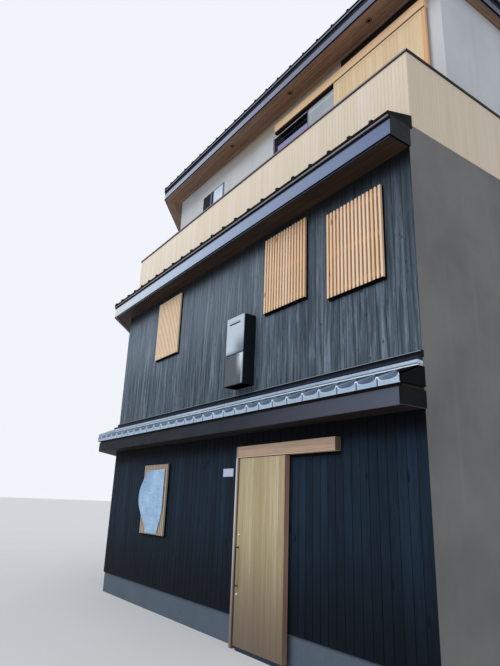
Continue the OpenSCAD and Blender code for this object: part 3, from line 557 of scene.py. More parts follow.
# Painted shade: the door, its edges, its jamb and the jamb's outer edge darken towards the foot.
timber("door_cedar", "a89872 b5a682 c2b494 92805e", rough=PLANED, veils=[(0.9, "5e5044", (Z, 1.6, 0.0))])
timber("door_edge_wood", "a58573 b0907e ba9b8a 8a6a5a", veils=[(0.5, "4a3e35", (Z, 1.2, 0.2))])
timber("header_end_wood", "6a6150 746a59 7e7462 585040")
timber("header_wood", "b0967f ba9f89 c4aa94 9a806b", along="x")
timber("jamb_wood", "8e8074 978a7e a09489 7c6e62", along="z", veils=[(0.75, "51473d", (Z, 1.5, 0.2))])
timber("jamb_edge_wood", "cbc3c3 d2cbcb dad4d4 b9b0ae", 0.0004, veils=[(0.85, "6a625c", (Z, 1.7, 0.1))])
# The header's pale lower edge: painted highlight.
timber("header_edge_highlight_wood", "cdb6a2 d6c0ae dfcbbb b9a18d", 0.0004)
timber("rail_wood", "ecc59a f2cda4 f6d6b2 dcae80", along="x", contrast=0.4)
timber("shutter_cedar", "d6bc92 dcc49c e1cba6 c8a87c", rough=PLANED, contrast=0.4)
timber("shutter_stile", "e0ae7c e4b484 e8bb8e cc945f")
timber("soffit_wood", "826552 93735e a3826b 5e4334", 0.0008, spec=0.2)
# The high and low soffits' dark wood is darkened further as painted shade under the eaves.
timber("high_soffit_wood", "34281f 413026 54392a 261c16", 0.0008, spec=0.2)
timber("low_soffit_wood", "211d1a 28231f 302a25 171412", 0.0008, spec=0.15)
timber("eaves_frame_wood", "241b17 2c211c 352923 1a130f", 0.0008, along="x", spec=0.15)
timber("floor_wood", "9b8464 a89070 b59d7c 80694c", 0.0008, along="x")
cast_concrete("cast_concrete", "3e4b58", "5a6773", "8a949c")
cast_concrete("floor_concrete", "1c2b3b", "26384a", "3c4c5c")
# Painted shade under the top soffit, warm brown and darkest at the top, on the front wall, fading out towards
# its left end.
render_coat("pale_render", "c9cdd1", "bdc1c4", 0.0010,
            [(0.85, "b9a88e", (Z, 8.22, 8.5), (X, 0.8, 3.2), (Y, 1.2, 1.06)),
             (0.7, "6e6558", (Z, 8.49, 8.61), (X, -0.5, 2.5), (Y, 1.2, 1.06))])
render_coat("cement_render", "7c7c7a", "6b6b6a", 0.0014)
# The fascias' colours along the street front are painted sheen.
coated_metal("fascia_metal", "6b7386", "8089a0", sweep="e0e5ec bdcee4 8f9fbc 626f93")
coated_metal("top_fascia_metal", "6b7386", "8089a0", sweep="acb4c4 979db1 75768f 5c5d70")
coated_metal("low_fascia_metal", "2a2d34", "383c45", 0.6, spec=0.1, sweep="171d22 1f252b 292f39 585c6b",
             high=(head("low_roof_trim") - 0.067, "080e16"))
coated_metal("sheet_metal", "0d1118", "1c212b", 0.6, spec=0.1)
coated_metal("lip_metal", "74818d", "8b97a2", metallic=0.1, spec=0.5)
coated_metal("bright_metal", "e2e5e6", "eff1f2", spec=0.5)
coated_metal("pale_edge_metal", "6c7b92", "8490a8")
coated_metal("brown_edge_metal", "8a8688", "9b9799")
coated_metal("cap_metal", "17151b", "222027", high=(head("parapet_cap") - 0.017, "857d8f"))
coated_metal("verge_metal", "0b0f16", "141a22", 0.7, spec=0.08)
fired_tile()
cotton()
dark_paint("dark_frame", "0c1015", "161b22", 0.5, 0.15)
dark_paint("mullion_paint", "4a5664", "5c6876", 0.35)
dark_paint("dark_iron", "26211e", "3d3732")
dark_paint("casing_paint", "0b131c", "16202b", 0.5, 0.2)
# black_trim also makes black strips that are painted shadow; dim_edge is the painted shadow band at the top
# fascia's head, and the dark upper ridge course.
dark_paint("black_trim", "04060b", "0b0f16", 0.7, 0.08)
dark_paint("dim_edge", "1e2838", "2b3648", 0.6, 0.1)
dark_paint("dark_head_board", "1c1412", "2c2122", 0.7, 0.1)
silver_cover()
lock_plating()
plate_plastic()
pane("dark_glass", "090f18", "101826", 1.6, clear=0.96)
pane("mirror_glass", "04060b", "080b12", 5.2, clear=0.98, sheen="d2cdfb")
# The screen is painted paler towards its top: painted light against the shadow of the track over it.
pane("screen_glass", "969fa8", "a2abb4", 1.3, 0.5, veils=[(0.9, "e8eef2", (Z, 8.06, 8.22))])
pane("dull_glass", "111a20", "1a242c", 1.15, 0.4)
# A pale pane that is a painted reflection of the sky.
pane("sky_glass", "cfdff6", "e0ecfb", 1.4, 0.2)


# Walls of upright boards

BOARD_T = 0.005
GROUND_BOARD, MIDDLE_BOARD, PARAPET_BOARD = 0.118, 0.135, 0.055
MIDDLE_Z, DECK_Z = foot("middle_front_wall"), head("middle_front_wall")
LOW_SOFFIT, HIGH_SOFFIT = foot("low_roof_frame"), foot("high_roof_frame")
FLASHING_TOP = head("low_roof_trim")
WALL_BASE = head("plinth") - 0.012

# The lattices' own size and how far they cover the wall round the windows behind them
TRELLIS_W, TRELLIS_H, COVER = 0.856, 1.095, 0.070
BEHIND_W, BEHIND_H = TRELLIS_W - 2 * COVER, TRELLIS_H - 2 * COVER
LATTICES = {name: survey_box(name)[0] for name in
            ("ground_lattice", "left_lattice", "middle_lattice", "right_lattice")}

# Plain windows of each storey by their near lower corner, in their own side's coordinates
PLAIN_W, PLAIN_H = 0.860, 0.900
SILLS = (1.2, MIDDLE_Z + 1.17, DECK_Z + 1.68)
LEFT_ROWS, BACK_ROW = ((1.5,), (1.5, 3.6), (1.5,)), (1.5, 5.2)
PLAIN_WINDOWS = {LEFT: [[(x - HOUSE_D, sill) for x in row] for row, sill in zip(LEFT_ROWS, SILLS)],
                 BACK: [[(x - FRONT_W, sill) for x in BACK_ROW] for sill in SILLS]}
OVER_DOOR = survey_box("front_wall_over_door")
DOORWAY = (OVER_DOOR[0].x, OVER_DOOR[1].x, 0.0, OVER_DOOR[0].z)


def openings(places, width=PLAIN_W, height=PLAIN_H):
    return [(x, x + width, z, z + height) for x, z in places]


def behind(names):
    return openings([(LATTICES[n].x + COVER, LATTICES[n].z + COVER) for n in names], BEHIND_W, BEHIND_H)


def without(rects, hole):
    """What is left of upright rectangles (x0, x1, z0, z1) once a hole is cut out of them."""
    left = []
    hx0, hx1, hz0, hz1 = hole
    for x0, x1, z0, z1 in rects:
        if hx0 >= x1 or hx1 <= x0 or hz0 >= z1 or hz1 <= z0:
            left.append((x0, x1, z0, z1))
            continue
        beside = max(hz0, z0), min(hz1, z1)
        parts = [(x0, x1, z0, min(hz0, z1)), (x0, x1, max(hz1, z0), z1),
                 (x0, min(hx0, x1), *beside), (max(hx1, x0), x1, *beside)]
        left += [p for p in parts if p[1] - p[0] > 0.004 and p[3] - p[2] > 0.004]
    return left


def board_wall(build, side, low, high, pitch, holes=(), line=WALLS, joint=0.003):
    """Upright boards over one side of the house, cut round its holes. Their edges are cut as wide as the
    joint between them."""
    x0, x1, face = side_line(line, side)
    for a, b in spaced(x0, x1, round((x1 - x0) / pitch), joint):
        rects = [(a, b, low, high)]
        for hole in holes:
            rects = without(rects, hole)
        tone = chance.random()
        for left, right, z0, z1 in rects:
            profile = board(left, right, face - BOARD_T, face, min(joint, (right - left) / 3))
            build.bar(profile, z0, z1, side_frame(side), tone)


def street_boards():
    """The dark boards of the ground floor and the grey boards of the middle storey, all round."""
    seam, lap = 0.006, 0.010
    ground, middle = Build(), Build()
    top, low = LOW_SOFFIT - seam, FLASHING_TOP - lap
    for side, high, holes in ((FRONT, top, behind(["ground_lattice"]) + [DOORWAY]), (CORNER, top, []),
                              (LEFT, top, openings(PLAIN_WINDOWS[LEFT][0])),
                              (BACK, MIDDLE_Z, openings(PLAIN_WINDOWS[BACK][0]))):
        board_wall(ground, side, WALL_BASE, high, GROUND_BOARD, holes)
    top = HIGH_SOFFIT - seam
    for side, holes in ((FRONT, behind(["left_lattice", "middle_lattice", "right_lattice"])), (CORNER, []),
                        (LEFT, openings(PLAIN_WINDOWS[LEFT][1]))):
        board_wall(middle, side, low, top, MIDDLE_BOARD, holes)
    board_wall(middle, BACK, MIDDLE_Z + 0.002, DECK_Z - 0.002, MIDDLE_BOARD, openings(PLAIN_WINDOWS[BACK][1]))
    ground.piece("ground_floor_boards", "dark_boards", "dark_boards")
    middle.piece("middle_storey_boards", "grey_boards", "grey_boards")


# Soffits and metal edges

def soffit_boards(name, wall, fascia, steps, low, high, finish, sides):
    """Long boards under an eave, side by side from the wall to the fascia, mitred at the corners."""
    build = Build()
    for side in sides:
        for k in range(steps):
            near, far = ([tuple(w + (f - w) * t for w, f in zip(p, q)) for p, q in zip(wall, fascia)]
                         for t in (k / steps, (k + 0.97) / steps))
            build.strip(far, near, side, low, high)
    build.piece(name, finish, "eaves_wood")


def eaves_boards():
    clear, thick = 0.002, 0.005
    for name, out, z, finish in (("low_soffit_boards", LOW_OUT, LOW_SOFFIT, "low_soffit_wood"),
                                 ("high_soffit_boards", HIGH_OUT, HIGH_SOFFIT, "high_soffit_wood")):
        edge = FASCIA_T - out
        soffit_boards(name, plan(0, 0, 0, clear, clear), plan(edge, edge, edge, clear, clear), 3,
                      z - thick, z, finish, STREET)
    z = foot("top_soffit")
    soffit_boards("top_soffit_boards", plan(TOP_BACK, TOP_CORNER_BACK, 0, 0, TOP_SIDE_BACK),
                  top_eaves(-FASCIA_T), 5, z - clear, z, "soffit_wood", range(5))


def metal_edges():
    """The thin lines that the sheet metal shows: lips, drip strips and folded edges, pale and dark in turn.
    The folded edges' pale colours are partly painted reflection of the sky, and the black strips are partly
    real drip strips and partly painted shadow under the edges and at the fascias' feet.
    """
    lips, brown, pale, drips_and_shadows, dim = (Build() for _ in range(5))
    high_z, high_foot = foot("high_roof_sheet"), foot("high_fascia")
    top_z, top_foot = foot("top_roof_sheet"), foot("top_fascia")
    fold, hidden_fold = 0.0262, 0.0246
    high_edge = eaves(HIGH_OUT + fold), eaves(HIGH_OUT + 0.010)
    top_edge = top_eaves(fold, hidden_fold), top_eaves(0.010)
    # Each band's build, its outer and inner plan, and its foot and head over one level
    street_bands = (
        (lips, plan(-0.034, -0.034, -0.034, 0, -0.010), WALLS, FLASHING_TOP, -0.010, -0.002),
        (drips_and_shadows, plan(-0.0335, -0.0335, -0.0335, 0, -0.010), WALLS, FLASHING_TOP, -0.026, -0.0105),
        # The folded edges' pale colours are partly painted sky reflection.
        (brown, *high_edge, high_z, -0.0185, -0.006),
        (drips_and_shadows, *high_edge, high_z, -0.0055, 0.040),
        (drips_and_shadows, *top_edge, top_z, -0.001, 0.0035),
        (pale, *top_edge, top_z, 0.004, 0.028),
        (drips_and_shadows, *top_edge, top_z, 0.0285, 0.0775),
        # Painted shadow: a black band under the high sheet's edge and a black line at the high fascia's foot.
        (drips_and_shadows, eaves(HIGH_OUT + 0.0115), eaves(HIGH_OUT - 0.010), high_z, -0.047, -0.001),
        (drips_and_shadows, eaves(HIGH_OUT + 0.0110), eaves(HIGH_OUT - 0.012), high_foot, -0.0015, 0.004))
    top_bands = (
        # Painted shadow under the top sheet's edge, fading through a dim band, and a black line at the top
        # fascia's foot.
        (drips_and_shadows, top_eaves(0.0115), top_eaves(-0.010), top_z, -0.045, -0.001),
        (dim, top_eaves(0.0110), top_eaves(-0.010), top_z, -0.066, -0.0455),
        (drips_and_shadows, top_eaves(0.0110), top_eaves(-0.012), top_foot, -0.0015, 0.006))
    for sides, bands in ((STREET, street_bands), (range(5), top_bands)):
        for side in sides:
            for build, outer, inner, level, low, high in bands:
                build.strip(outer, inner, side, level + low, level + high)
    end = FRONT_W + ROOF_SIDE
    # A black plate under the high fascia's end at the party line: painted shade.
    drips_and_shadows.post(end - 0.024, end, -HIGH_OUT - 0.010, -0.002, high_foot - 0.0015, high_foot + 0.0005)
    for build, name, finish in (
            (lips, "flashing_lip", "lip_metal"), (brown, "high_sheet_edge", "brown_edge_metal"),
            (pale, "top_sheet_edge", "pale_edge_metal"), (dim, "top_fascia_head_shadow", "dim_edge"),
            (drips_and_shadows, "drip_and_shadow_strips", "black_trim")):
        build.piece(name, finish, "roof_metal")


# The tiled roof

TILE_PITCH, TILE_SLOPE, TILE_T, APRON_T = 0.2655, 0.43, 0.014, 0.012
TILE_FOOT = foot("low_roof_tiles")
TILE_EDGE = TILE_FOOT + 0.078
COURSE_OUT = 0.100
COURSE_FOOT = FLASHING_TOP - 0.065 - 0.093
# Places across a tile, close together where its trough turns up into the rolls at its sides
ACROSS = [0.0, 0.022, 0.045, 0.055, 0.062, 0.072, 0.09, 0.13, 0.19, 0.27, 0.37, 0.5, 0.63, 0.74, 0.82, 0.875,
          0.91, 0.93, 0.94, 0.955, 0.98, 1.0]
GROOVE = 0.05


def tile_height(u):
    """Height of a tile's front edge over the apron's foot: a round trough between two narrow rolls."""
    t = abs(u - 0.5) / 0.44
    if t < 1:
        return 0.038 + 0.033 * (1 - math.sqrt(1 - t ** 2.2))
    t = (t - 1) / 0.136
    return 0.071 + 0.011 * math.sqrt(max(0.0, min(1.0, t * (2 - t))))


def tile_top(line, y, own):
    """A tile's upper face, from its front edge up the slope: painted shade in the trough and painted
    highlight along the rolls, darker further up the slope as painted shade under the courses.
    """
    depth = LOW_REACH - COURSE_OUT + 0.040
    rows = [[(x, y + 0.011 + v * depth, z - 0.0015 + TILE_SLOPE * v * depth) for x, z in line]
            for v in (0.0, 0.12, 0.5, 1.0)]
    # The tone is the painted shade and highlight: low in the trough, high along the rolls, and lower up the
    # slope.
    tones = [min(1.0, (0.22 + own * 0.08 + 0.65 * (abs(u - 0.5) / 0.5) ** 9) * fade)
             for fade in (1.1, 1.0, 0.85, 0.6) for u in ACROSS]
    return rows, tones


def tile_apron(line, y, own):
    """A tile's apron over the eaves, with a groove beside the next tile's, and brighter tops of its rolls as
    painted highlight.
    """
    rows, tones = [], []
    for drop, back, shade in ((None, 0.0, 0.72), (0.024, 0.0, 0.62), (0.014, 0.0, 0.62), (0.0, 0.003, 0.66)):
        under = drop is None or drop > 0.02
        rows.append([(x, y + back + (0.007 if under and u < GROOVE else 0.0),
                      TILE_FOOT - 0.006 if drop is None else z - drop) for u, (x, z) in zip(ACROSS, line)])
        for u in ACROSS:
            # Painted highlight along the tops of the rolls, on the upper rows of the apron.
            roll_highlight = 0.0 if under else max(0.0, (abs(u - 0.5) - 0.38) / 0.12)
            tones.append(0.14 if under and u < GROOVE else min(1.0, shade + own * 0.08 + roll_highlight * 0.4))
    return rows, tones


def tile_row(build, side):
    x0, x1, y = side_line(eaves(LOW_REACH), side)
    for i in range(math.ceil((x1 - x0) / TILE_PITCH)):
        right = x1 - i * TILE_PITCH
        left = max(right - TILE_PITCH + 0.003, x0)
        own = chance.random()
        line = [(left + (right - left) * u, TILE_FOOT + tile_height(u)) for u in ACROSS]
        rows, tones = tile_top(line, y, own)
        build.sheet(rows, TILE_T, (0, 0, 1), side_frame(side), tones)
        rows, tones = tile_apron(line, y, own)
        build.sheet(rows, APRON_T, (0, -1, 0), side_frame(side), tones)


def cut_at_hips(obj, side):
    """Cuts a side's tiles off at the upright planes through its hips."""
    mesh = bmesh.new()
    mesh.from_mesh(obj.data)
    edge, ends = eaves(LOW_REACH), (side, (side + 1) % 5)
    middle = Vector((*[(a + b) / 2 for a, b in zip(edge[ends[0]], edge[ends[1]])], 0))
    for corner in {0, 4} & set(ends):
        outer = Vector((*edge[corner], 0))
        inner = Vector((*eaves(0)[corner], 0))
        normal = (inner - outer).cross(Vector((0, 0, 1))).normalized()
        if normal.dot(middle - outer) < 0:
            normal = -normal
        geometry = mesh.verts[:] + mesh.edges[:] + mesh.faces[:]
        cut = bmesh.ops.bisect_plane(mesh, geom=geometry, plane_co=outer + ORIGIN, plane_no=normal,
                                     clear_inner=True)
        rim = [e for e in cut["geom_cut"] if isinstance(e, bmesh.types.BMEdge)]
        bmesh.ops.holes_fill(mesh, edges=rim, sides=0)
    mesh.to_mesh(obj.data)
    mesh.free()


def hip_rolls(build):
    """Round tiles that lap each other up the two hips."""
    inner_out, count, lap = COURSE_OUT / 2, 2, 0.02
    for corner in (0, 4):
        outer = Vector((*eaves(LOW_REACH - 0.016)[corner], TILE_EDGE))
        inner = Vector((*eaves(inner_out)[corner], TILE_EDGE + TILE_SLOPE * (LOW_REACH - inner_out)))
        length = (inner - outer).length / count
        turn = (inner - outer).to_track_quat("Z", "Y").to_matrix().to_4x4()
        for k in range(count):
            start, end = k * length, (k + 1) * length + lap
            build.turned(outer, turn, [(start, 0.052), (start + 0.004, 0.060), (end, 0.054)], 20, 0.7)


def ridge_courses(build, upper):
    """Two layers of flat tiles against the wall, in short lengths, over a bright lip and a dark bed, which is
    partly mortar and partly painted shade. The upper layer is dark."""
    for side in STREET:
        for out, low, high, tone in ((-0.014, TILE_FOOT + 0.10 - COURSE_FOOT, 0.0, 0.15),
                                     (0.003, 0.0, 0.011, 1.0), (-0.004, 0.0115, 0.0195, 0.1)):
            build.strip(eaves(COURSE_OUT + out), WALLS, side, COURSE_FOOT + low, COURSE_FOOT + high, tone)
    length, seam, soft = 0.30, 0.0015, 0.006
    for layer, low, high, out in ((build, COURSE_FOOT + 0.020, COURSE_FOOT + 0.057, COURSE_OUT),
                                  (upper, COURSE_FOOT + 0.058, COURSE_FOOT + 0.091, COURSE_OUT - 0.006)):
        for side in STREET:
            x0, x1, y = side_line(eaves(out), side)
            wall_x0, wall_x1, wall_y = side_line(WALLS, side)
            count = round((x1 - x0) / length)
            for i in range(count):
                left, right = (x0 + (x1 - x0) * t for t in (i / count, (i + 1) / count - seam / (x1 - x0)))
                ends = ((right, wall_x1 if i == count - 1 else right), (left, wall_x0 if i == 0 else left))
                rings = [[(x, y, low + soft), (x, y, high - soft), (x, y + soft, high), (wx, wall_y, high),
                          (wx, wall_y, low), (x, y + soft, low)] for x, wx in ends]
                layer.solid(loft(rings), side_frame(side), 0.64 + chance.random() * 0.2)


def verge_plates():
    """The metal plates that close the low roof at the party line: dark metal, painted near black as shade."""
    verge = Build()
    end, front, high = FRONT_W + ROOF_SIDE, -LOW_REACH + 0.001, TILE_FOOT + 0.112
    profile = [(-TILE_FOOT, 0.0), (-COURSE_FOOT, 0.0), (-COURSE_FOOT, -COURSE_OUT), (-high, front),
               (-TILE_FOOT - 0.002, front)]
    verge.bar(profile, end - 0.005, end, LYING)
    verge.post(end - 0.037, end, -LOW_OUT - 0.0015, -LOW_OUT + 0.002, foot("low_roof_trim") + 0.001,
               TILE_FOOT - 0.002)
    verge.piece("verge_plate", "verge_metal", "roof_metal")


def tiled_roof():
    for side, name in ((FRONT, "front"), (CORNER, "corner"), (LEFT, "left")):
        build = Build()
        tile_row(build, side)
        cut_at_hips(build.piece(name + "_roof_tiles", "silver_grey_tile", "grey_tile"), side)
    trim, upper = Build(), Build()
    hip_rolls(trim)
    ridge_courses(trim, upper)
    upper.piece("upper_ridge_course", "dim_edge", "grey_tile")
    trim.piece("roof_hip_and_ridge_tiles", "silver_grey_tile", "grey_tile", replaces=["low_roof_tiles"])
    verge_plates()


# Lattices

SLAT_W, SLAT_D, SLAT_PITCH = 0.032, 0.058, 0.058
RAIL_D, RAIL_H, RAIL_IN = 0.028, 0.045, 0.060
BACK_FRAME_D, BACK_FRAME_W = 0.026, 0.050


def lattice_panel(name):
    x, _, z = LATTICES[name]
    build = Build()
    for rail in (RAIL_IN, (TRELLIS_H - RAIL_H) / 2, TRELLIS_H - RAIL_IN - RAIL_H):
        build.beam(x + 0.002, x + TRELLIS_W - 0.002, -RAIL_D, -0.003, z + rail, z + rail + RAIL_H, 0.001,
                   tone=0.1)
    count = round((TRELLIS_W - SLAT_W) / SLAT_PITCH) + 1
    pitch = (TRELLIS_W - SLAT_W) / (count - 1)
    for i in range(count):
        left = x + i * pitch
        build.post(left, left + SLAT_W, -SLAT_D, -BACK_FRAME_D, z + 0.003, z + TRELLIS_H, 0.0025)
    build.piece(name + "_slats", "lattice_cedar", "lattice_wood", replaces=[name])


def lattice_back_frames_and_shade():
    """The black frame behind each lattice, which reaches past its right and lower edges as painted shadow on
    the wall, and the dark ends of its slats, which are painted shade.
    """
    build = Build()
    for x, _, z in LATTICES.values():
        x1, z1, low = x + TRELLIS_W, z + TRELLIS_H, z - 0.020
        inner, inner1 = x + BACK_FRAME_W, x1 - BACK_FRAME_W
        build.post(inner1, x1 + 0.004, -BACK_FRAME_D, -0.001, low, z1)
        build.post(x, inner, -BACK_FRAME_D, -0.001, low, z1)
        build.beam(inner, inner1, -BACK_FRAME_D, -0.001, low, z + BACK_FRAME_W)
        build.beam(inner, inner1, -BACK_FRAME_D, -0.001, z1 - BACK_FRAME_W, z1)
        # A black plate under the slats' ends: painted shade on their undersides.
        build.beam(x + 0.001, x1 - 0.001, -SLAT_D + 0.001, -BACK_FRAME_D, z, z + 0.0028)
    build.piece("lattice_back_frames_and_shade", "black_trim", "frame_aluminium")


# The sliding door

def sliding_door():
    low, high = survey_box("sliding_door")
    top, back, edge = DOOR_Z + DOOR_H, -DOOR_FACE + DOOR_T, 0.008
    planks, rims, hangers = Build(), Build(), Build()
    for a, b in spaced(low.x + edge, high.x - edge, 9, 0.0008):
        planks.post(a, b, -DOOR_FACE, back, DOOR_Z + 0.004, top - 0.002, 0.0012)
    for a in (low.x, high.x - edge):
        rims.post(a, a + edge, -DOOR_FACE + 0.0006, back - 0.0006, DOOR_Z, top, 0.001, tone=0.4)
    rims.beam(low.x + edge, high.x - edge, -DOOR_FACE + 0.001, back - 0.001, DOOR_Z, DOOR_Z + 0.004, 0.0005,
              tone=0.4)
    middle, r = (-DOOR_FACE + back) / 2, 0.020
    for x in (low.x + (high.x - low.x) / 6, low.x + (high.x - low.x) * 5 / 6):
        hangers.post(x - 0.045, x + 0.045, middle - 0.004, middle + 0.004, top - 0.003, high.z - 0.042)
        for dx in (-0.024, 0.024):
            hangers.turned((x + dx, middle + 0.016, high.z - 0.021), OUTWARD, [(0, r), (0.032, r)], 20)
    planks.piece("door_planks", "door_cedar", "door_wood", "front_door", ["sliding_door"])
    rims.piece("door_edges", "door_edge_wood", "door_wood", "front_door")
    hangers.piece("door_hangers", "dark_iron", "dark_iron", "front_door")


def door_fittings():
    low, high = survey_box("door_pull")
    x, y, face, length = (low.x + high.x) / 2, low.y + 0.009, -DOOR_FACE, high.z - low.z
    pull, locks = Build(), Build()
    pull.turned((x, y, low.z), UPRIGHT, [(0, 0.006), (0.003, 0.009), (length - 0.003, 0.009),
                                         (length, 0.006)])
    for z in (low.z + 0.011, high.z - 0.011):
        pull.turned((x, face, z), OUTWARD, [(0.0, 0.011), (0.004, 0.011), (0.006, 0.007), (face - y, 0.007)])
    low, high = survey_box("door_locks")
    for z in (low.z + 0.016, high.z - 0.016):
        locks.turned((x, face, z), OUTWARD, [(0.0, 0.016), (0.003, 0.016), (0.005, 0.014), (0.0052, 0.011),
                                             (0.012, 0.010), (0.0135, 0.008)])
        locks.post(x - 0.001, x + 0.001, face - 0.0138, face - 0.0134, z - 0.005, z + 0.005)
    pull.piece("door_pull_bar", "dark_iron", "dark_iron", "front_door", ["door_pull"])
    locks.piece("door_lock_cylinders", "worn_nickel", "lock_brass", "front_door", ["door_locks"])


def header_trim():
    """The door header's pale lower edge, a painted highlight, and its darker cut end; the black band under
    it, a painted shadow; and the jamb's edge.
    """
    low, high = survey_box("door_header")
    jamb = survey_box("door_jamb")[0]
    edge, end, band, lip = (Build() for _ in range(4))
    # Painted highlight: a pale strip along the header's lower edge.
    edge.beam(low.x + 0.001, high.x - 0.001, low.y - 0.0006, low.y + 0.002, low.z + 0.0015, low.z + 0.0065)
    end.post(high.x, high.x + 0.001, low.y + 0.001, -0.001, low.z + 0.001, high.z - 0.001)
    lip.post(jamb.x + 0.001, jamb.x + 0.024, jamb.y - 0.0008, jamb.y + 0.002, 0.002, low.z - 0.002)
    # Painted shadow: a black band on the wall under the header.
    band.beam(survey_box("sliding_door")[1].x + 0.008, high.x - 0.004, -0.009, -0.0005, low.z - 0.034,
              low.z - 0.001)
    edge.piece("header_lower_edge_highlight", "header_edge_highlight_wood", "door_wood")
    end.piece("header_end_face", "header_end_wood", "door_wood")
    band.piece("header_shadow_board", "black_trim", "dark_boards")
    lip.piece("jamb_outer_edge", "jamb_edge_wood", "door_wood")


# The hung sheet

def cloth_point(low, high, u, v):
    """A point of the sheet, u of the way across it and v of the way down. Its left half billows out."""
    width, height, back = high.x - low.x, high.z - low.z, high.y
    swell = math.sin(math.pi * min(v * 1.08, 1.0)) ** 1.2 * (1 - u) ** 1.3
    wave = 0.010 * math.sin(9.5 * u + 2.2 * v) * v + 0.004 * math.sin(31 * u - 5 * v)
    crease = 0.0022 * math.sin(46 * v + 5 * u + 1.6 * math.sin(7 * u)) * (0.4 + 0.6 * v)
    gather = 0.14 * max(0.0, (v - 0.62) / 0.38) ** 1.3 * u ** 2
    x = low.x + width * u - 0.045 * swell * (1 - u) + 0.10 * v ** 2 * (1 - u) - gather
    y = min(back - 0.008 - 0.120 * swell - abs(wave) - crease * 0.6, back - 0.003)
    z = high.z - height * v * (1 - 0.012 * swell) - 0.012 * math.sin(math.pi * u) ** 2 * (1 - v)
    return x, y, z


def hung_sheet():
    """A thin cotton sheet tied to the lattice's top."""
    low, high = survey_box("hung_sheet")
    across, down, width = 46, 72, high.x - low.x
    build = Build()
    rows = [[cloth_point(low, high, i / across, j / down) for i in range(across + 1)]
            for j in range(down + 1)]
    build.sheet(rows, 0.0012, (0, -1, 0))
    obj = build.piece("hung_cotton_sheet", "pale_blue_cotton", "sheet_cloth", replaces=["hung_sheet"])


# The parapet and the top storey

def parapet_boards():
    """Narrow upright cedar boards on both faces of the balcony's parapet."""
    joint = 0.001
    low, high = survey_box("parapet")
    foot_z, t = low.z + 0.002, PARAPET_T
    outer = plan(PARAPET_IN, PARAPET_CORNER_IN, PARAPET_IN, 0, 0)
    inner = plan(PARAPET_IN + t, PARAPET_CORNER_IN + t, PARAPET_IN + t, t, t)
    outside, inside = Build(), Build()
    for side in (FRONT, CORNER):
        board_wall(outside, side, foot_z, high.z, PARAPET_BOARD, line=outer, joint=joint)
    left_start = side_line(plan(0, TOP_CORNER_BACK, PARAPET_IN, 0, 0), LEFT)[1]
    party_start = side_line(outer, PARTY)[0]
    for side, start, end in ((LEFT, left_start, side_line(outer, LEFT)[1]),
                             (PARTY, party_start, party_start + high.y - low.y)):
        face = side_line(outer, side)[2]
        for a, b in spaced(start, end, round((end - start) / PARAPET_BOARD), 0.0):
            outside.bar(board(a, b - joint, face - BOARD_T, face, joint), foot_z, high.z, side_frame(side))
    for side in (FRONT, CORNER):
        x0, x1, face = side_line(inner, side)
        for a, b in spaced(x0, x1, round((x1 - x0) / PARAPET_BOARD), 0.0):
            inside.post(a, b - joint, face, face + BOARD_T, foot_z, high.z, 0, side_frame(side))
    outside.piece("parapet_boards", "parapet_cedar", "parapet_wood")
    inside.piece("parapet_inner_boards", "parapet_cedar", "parapet_wood")


def top_wall_trim():
    """Round the shutter's rail: the dark board over it; the black tracks under it, which are partly painted
    shadow under the rail; and the window's bright strip, a pale head painted brighter as light against the
    shade it lies in.
    """
    low, high = survey_box("shutter_rail")
    panel_low, panel_high = survey_box("shutter_panel")
    above, track, strip = Build(), Build(), Build()
    above.beam(panel_low.x + 0.13, FRONT_W - TOP_SIDE_BACK, TOP_BACK - 0.024, TOP_BACK, high.z + 0.002,
               foot("top_soffit") - 0.004, 0.002)
    # A black track under the rail, partly painted shadow.
    track.beam(low.x + 0.004, panel_low.x - 0.002, low.y + 0.010, TOP_BACK - 0.005, low.z - 0.040, low.z)
    # A black strip between the rail and the shutter: a painted shadow gap.
    track.beam(panel_low.x - 0.002, panel_high.x, panel_low.y - 0.002, panel_low.y + 0.001, low.z - 0.015,
               low.z)
    # The window's pale head strip, painted brighter than its metal as light against the shade under the rail.
    strip.beam(low.x - 0.11, low.x + 0.855, TOP_BACK - 0.012, TOP_BACK - 0.006, low.z - 0.054, low.z - 0.030)
    above.piece("dark_head_board", "dark_head_board", "eaves_wood")
    track.piece("shutter_track_and_shadow", "dark_head_board", "shutter_wood")
    strip.piece("window_head_strip", "bright_metal", "frame_aluminium")


def shutter():
    low, high = survey_box("shutter_panel")
    build, edge = Build(), Build()
    stile, bevel = 0.060, 0.002
    build.post(low.x, low.x + stile, low.y, high.y, low.z, high.z, bevel)
    edge.post(high.x - stile, high.x, low.y, high.y, low.z, high.z, bevel)
    for z in (low.z, high.z - stile):
        build.beam(low.x + stile, high.x - stile, low.y, high.y, z, z + stile, bevel)
    for a, b in spaced(low.x + stile, high.x - stile, 24, 0.0008):
        build.post(a, b, low.y + 0.003, high.y - 0.004, low.z + stile, high.z - stile, 0.0008)
    build.piece("shutter_boards", "shutter_cedar", "shutter_wood", replaces=["shutter_panel"])
    edge.piece("shutter_edge_stile", "shutter_stile", "shutter_wood")


# Windows

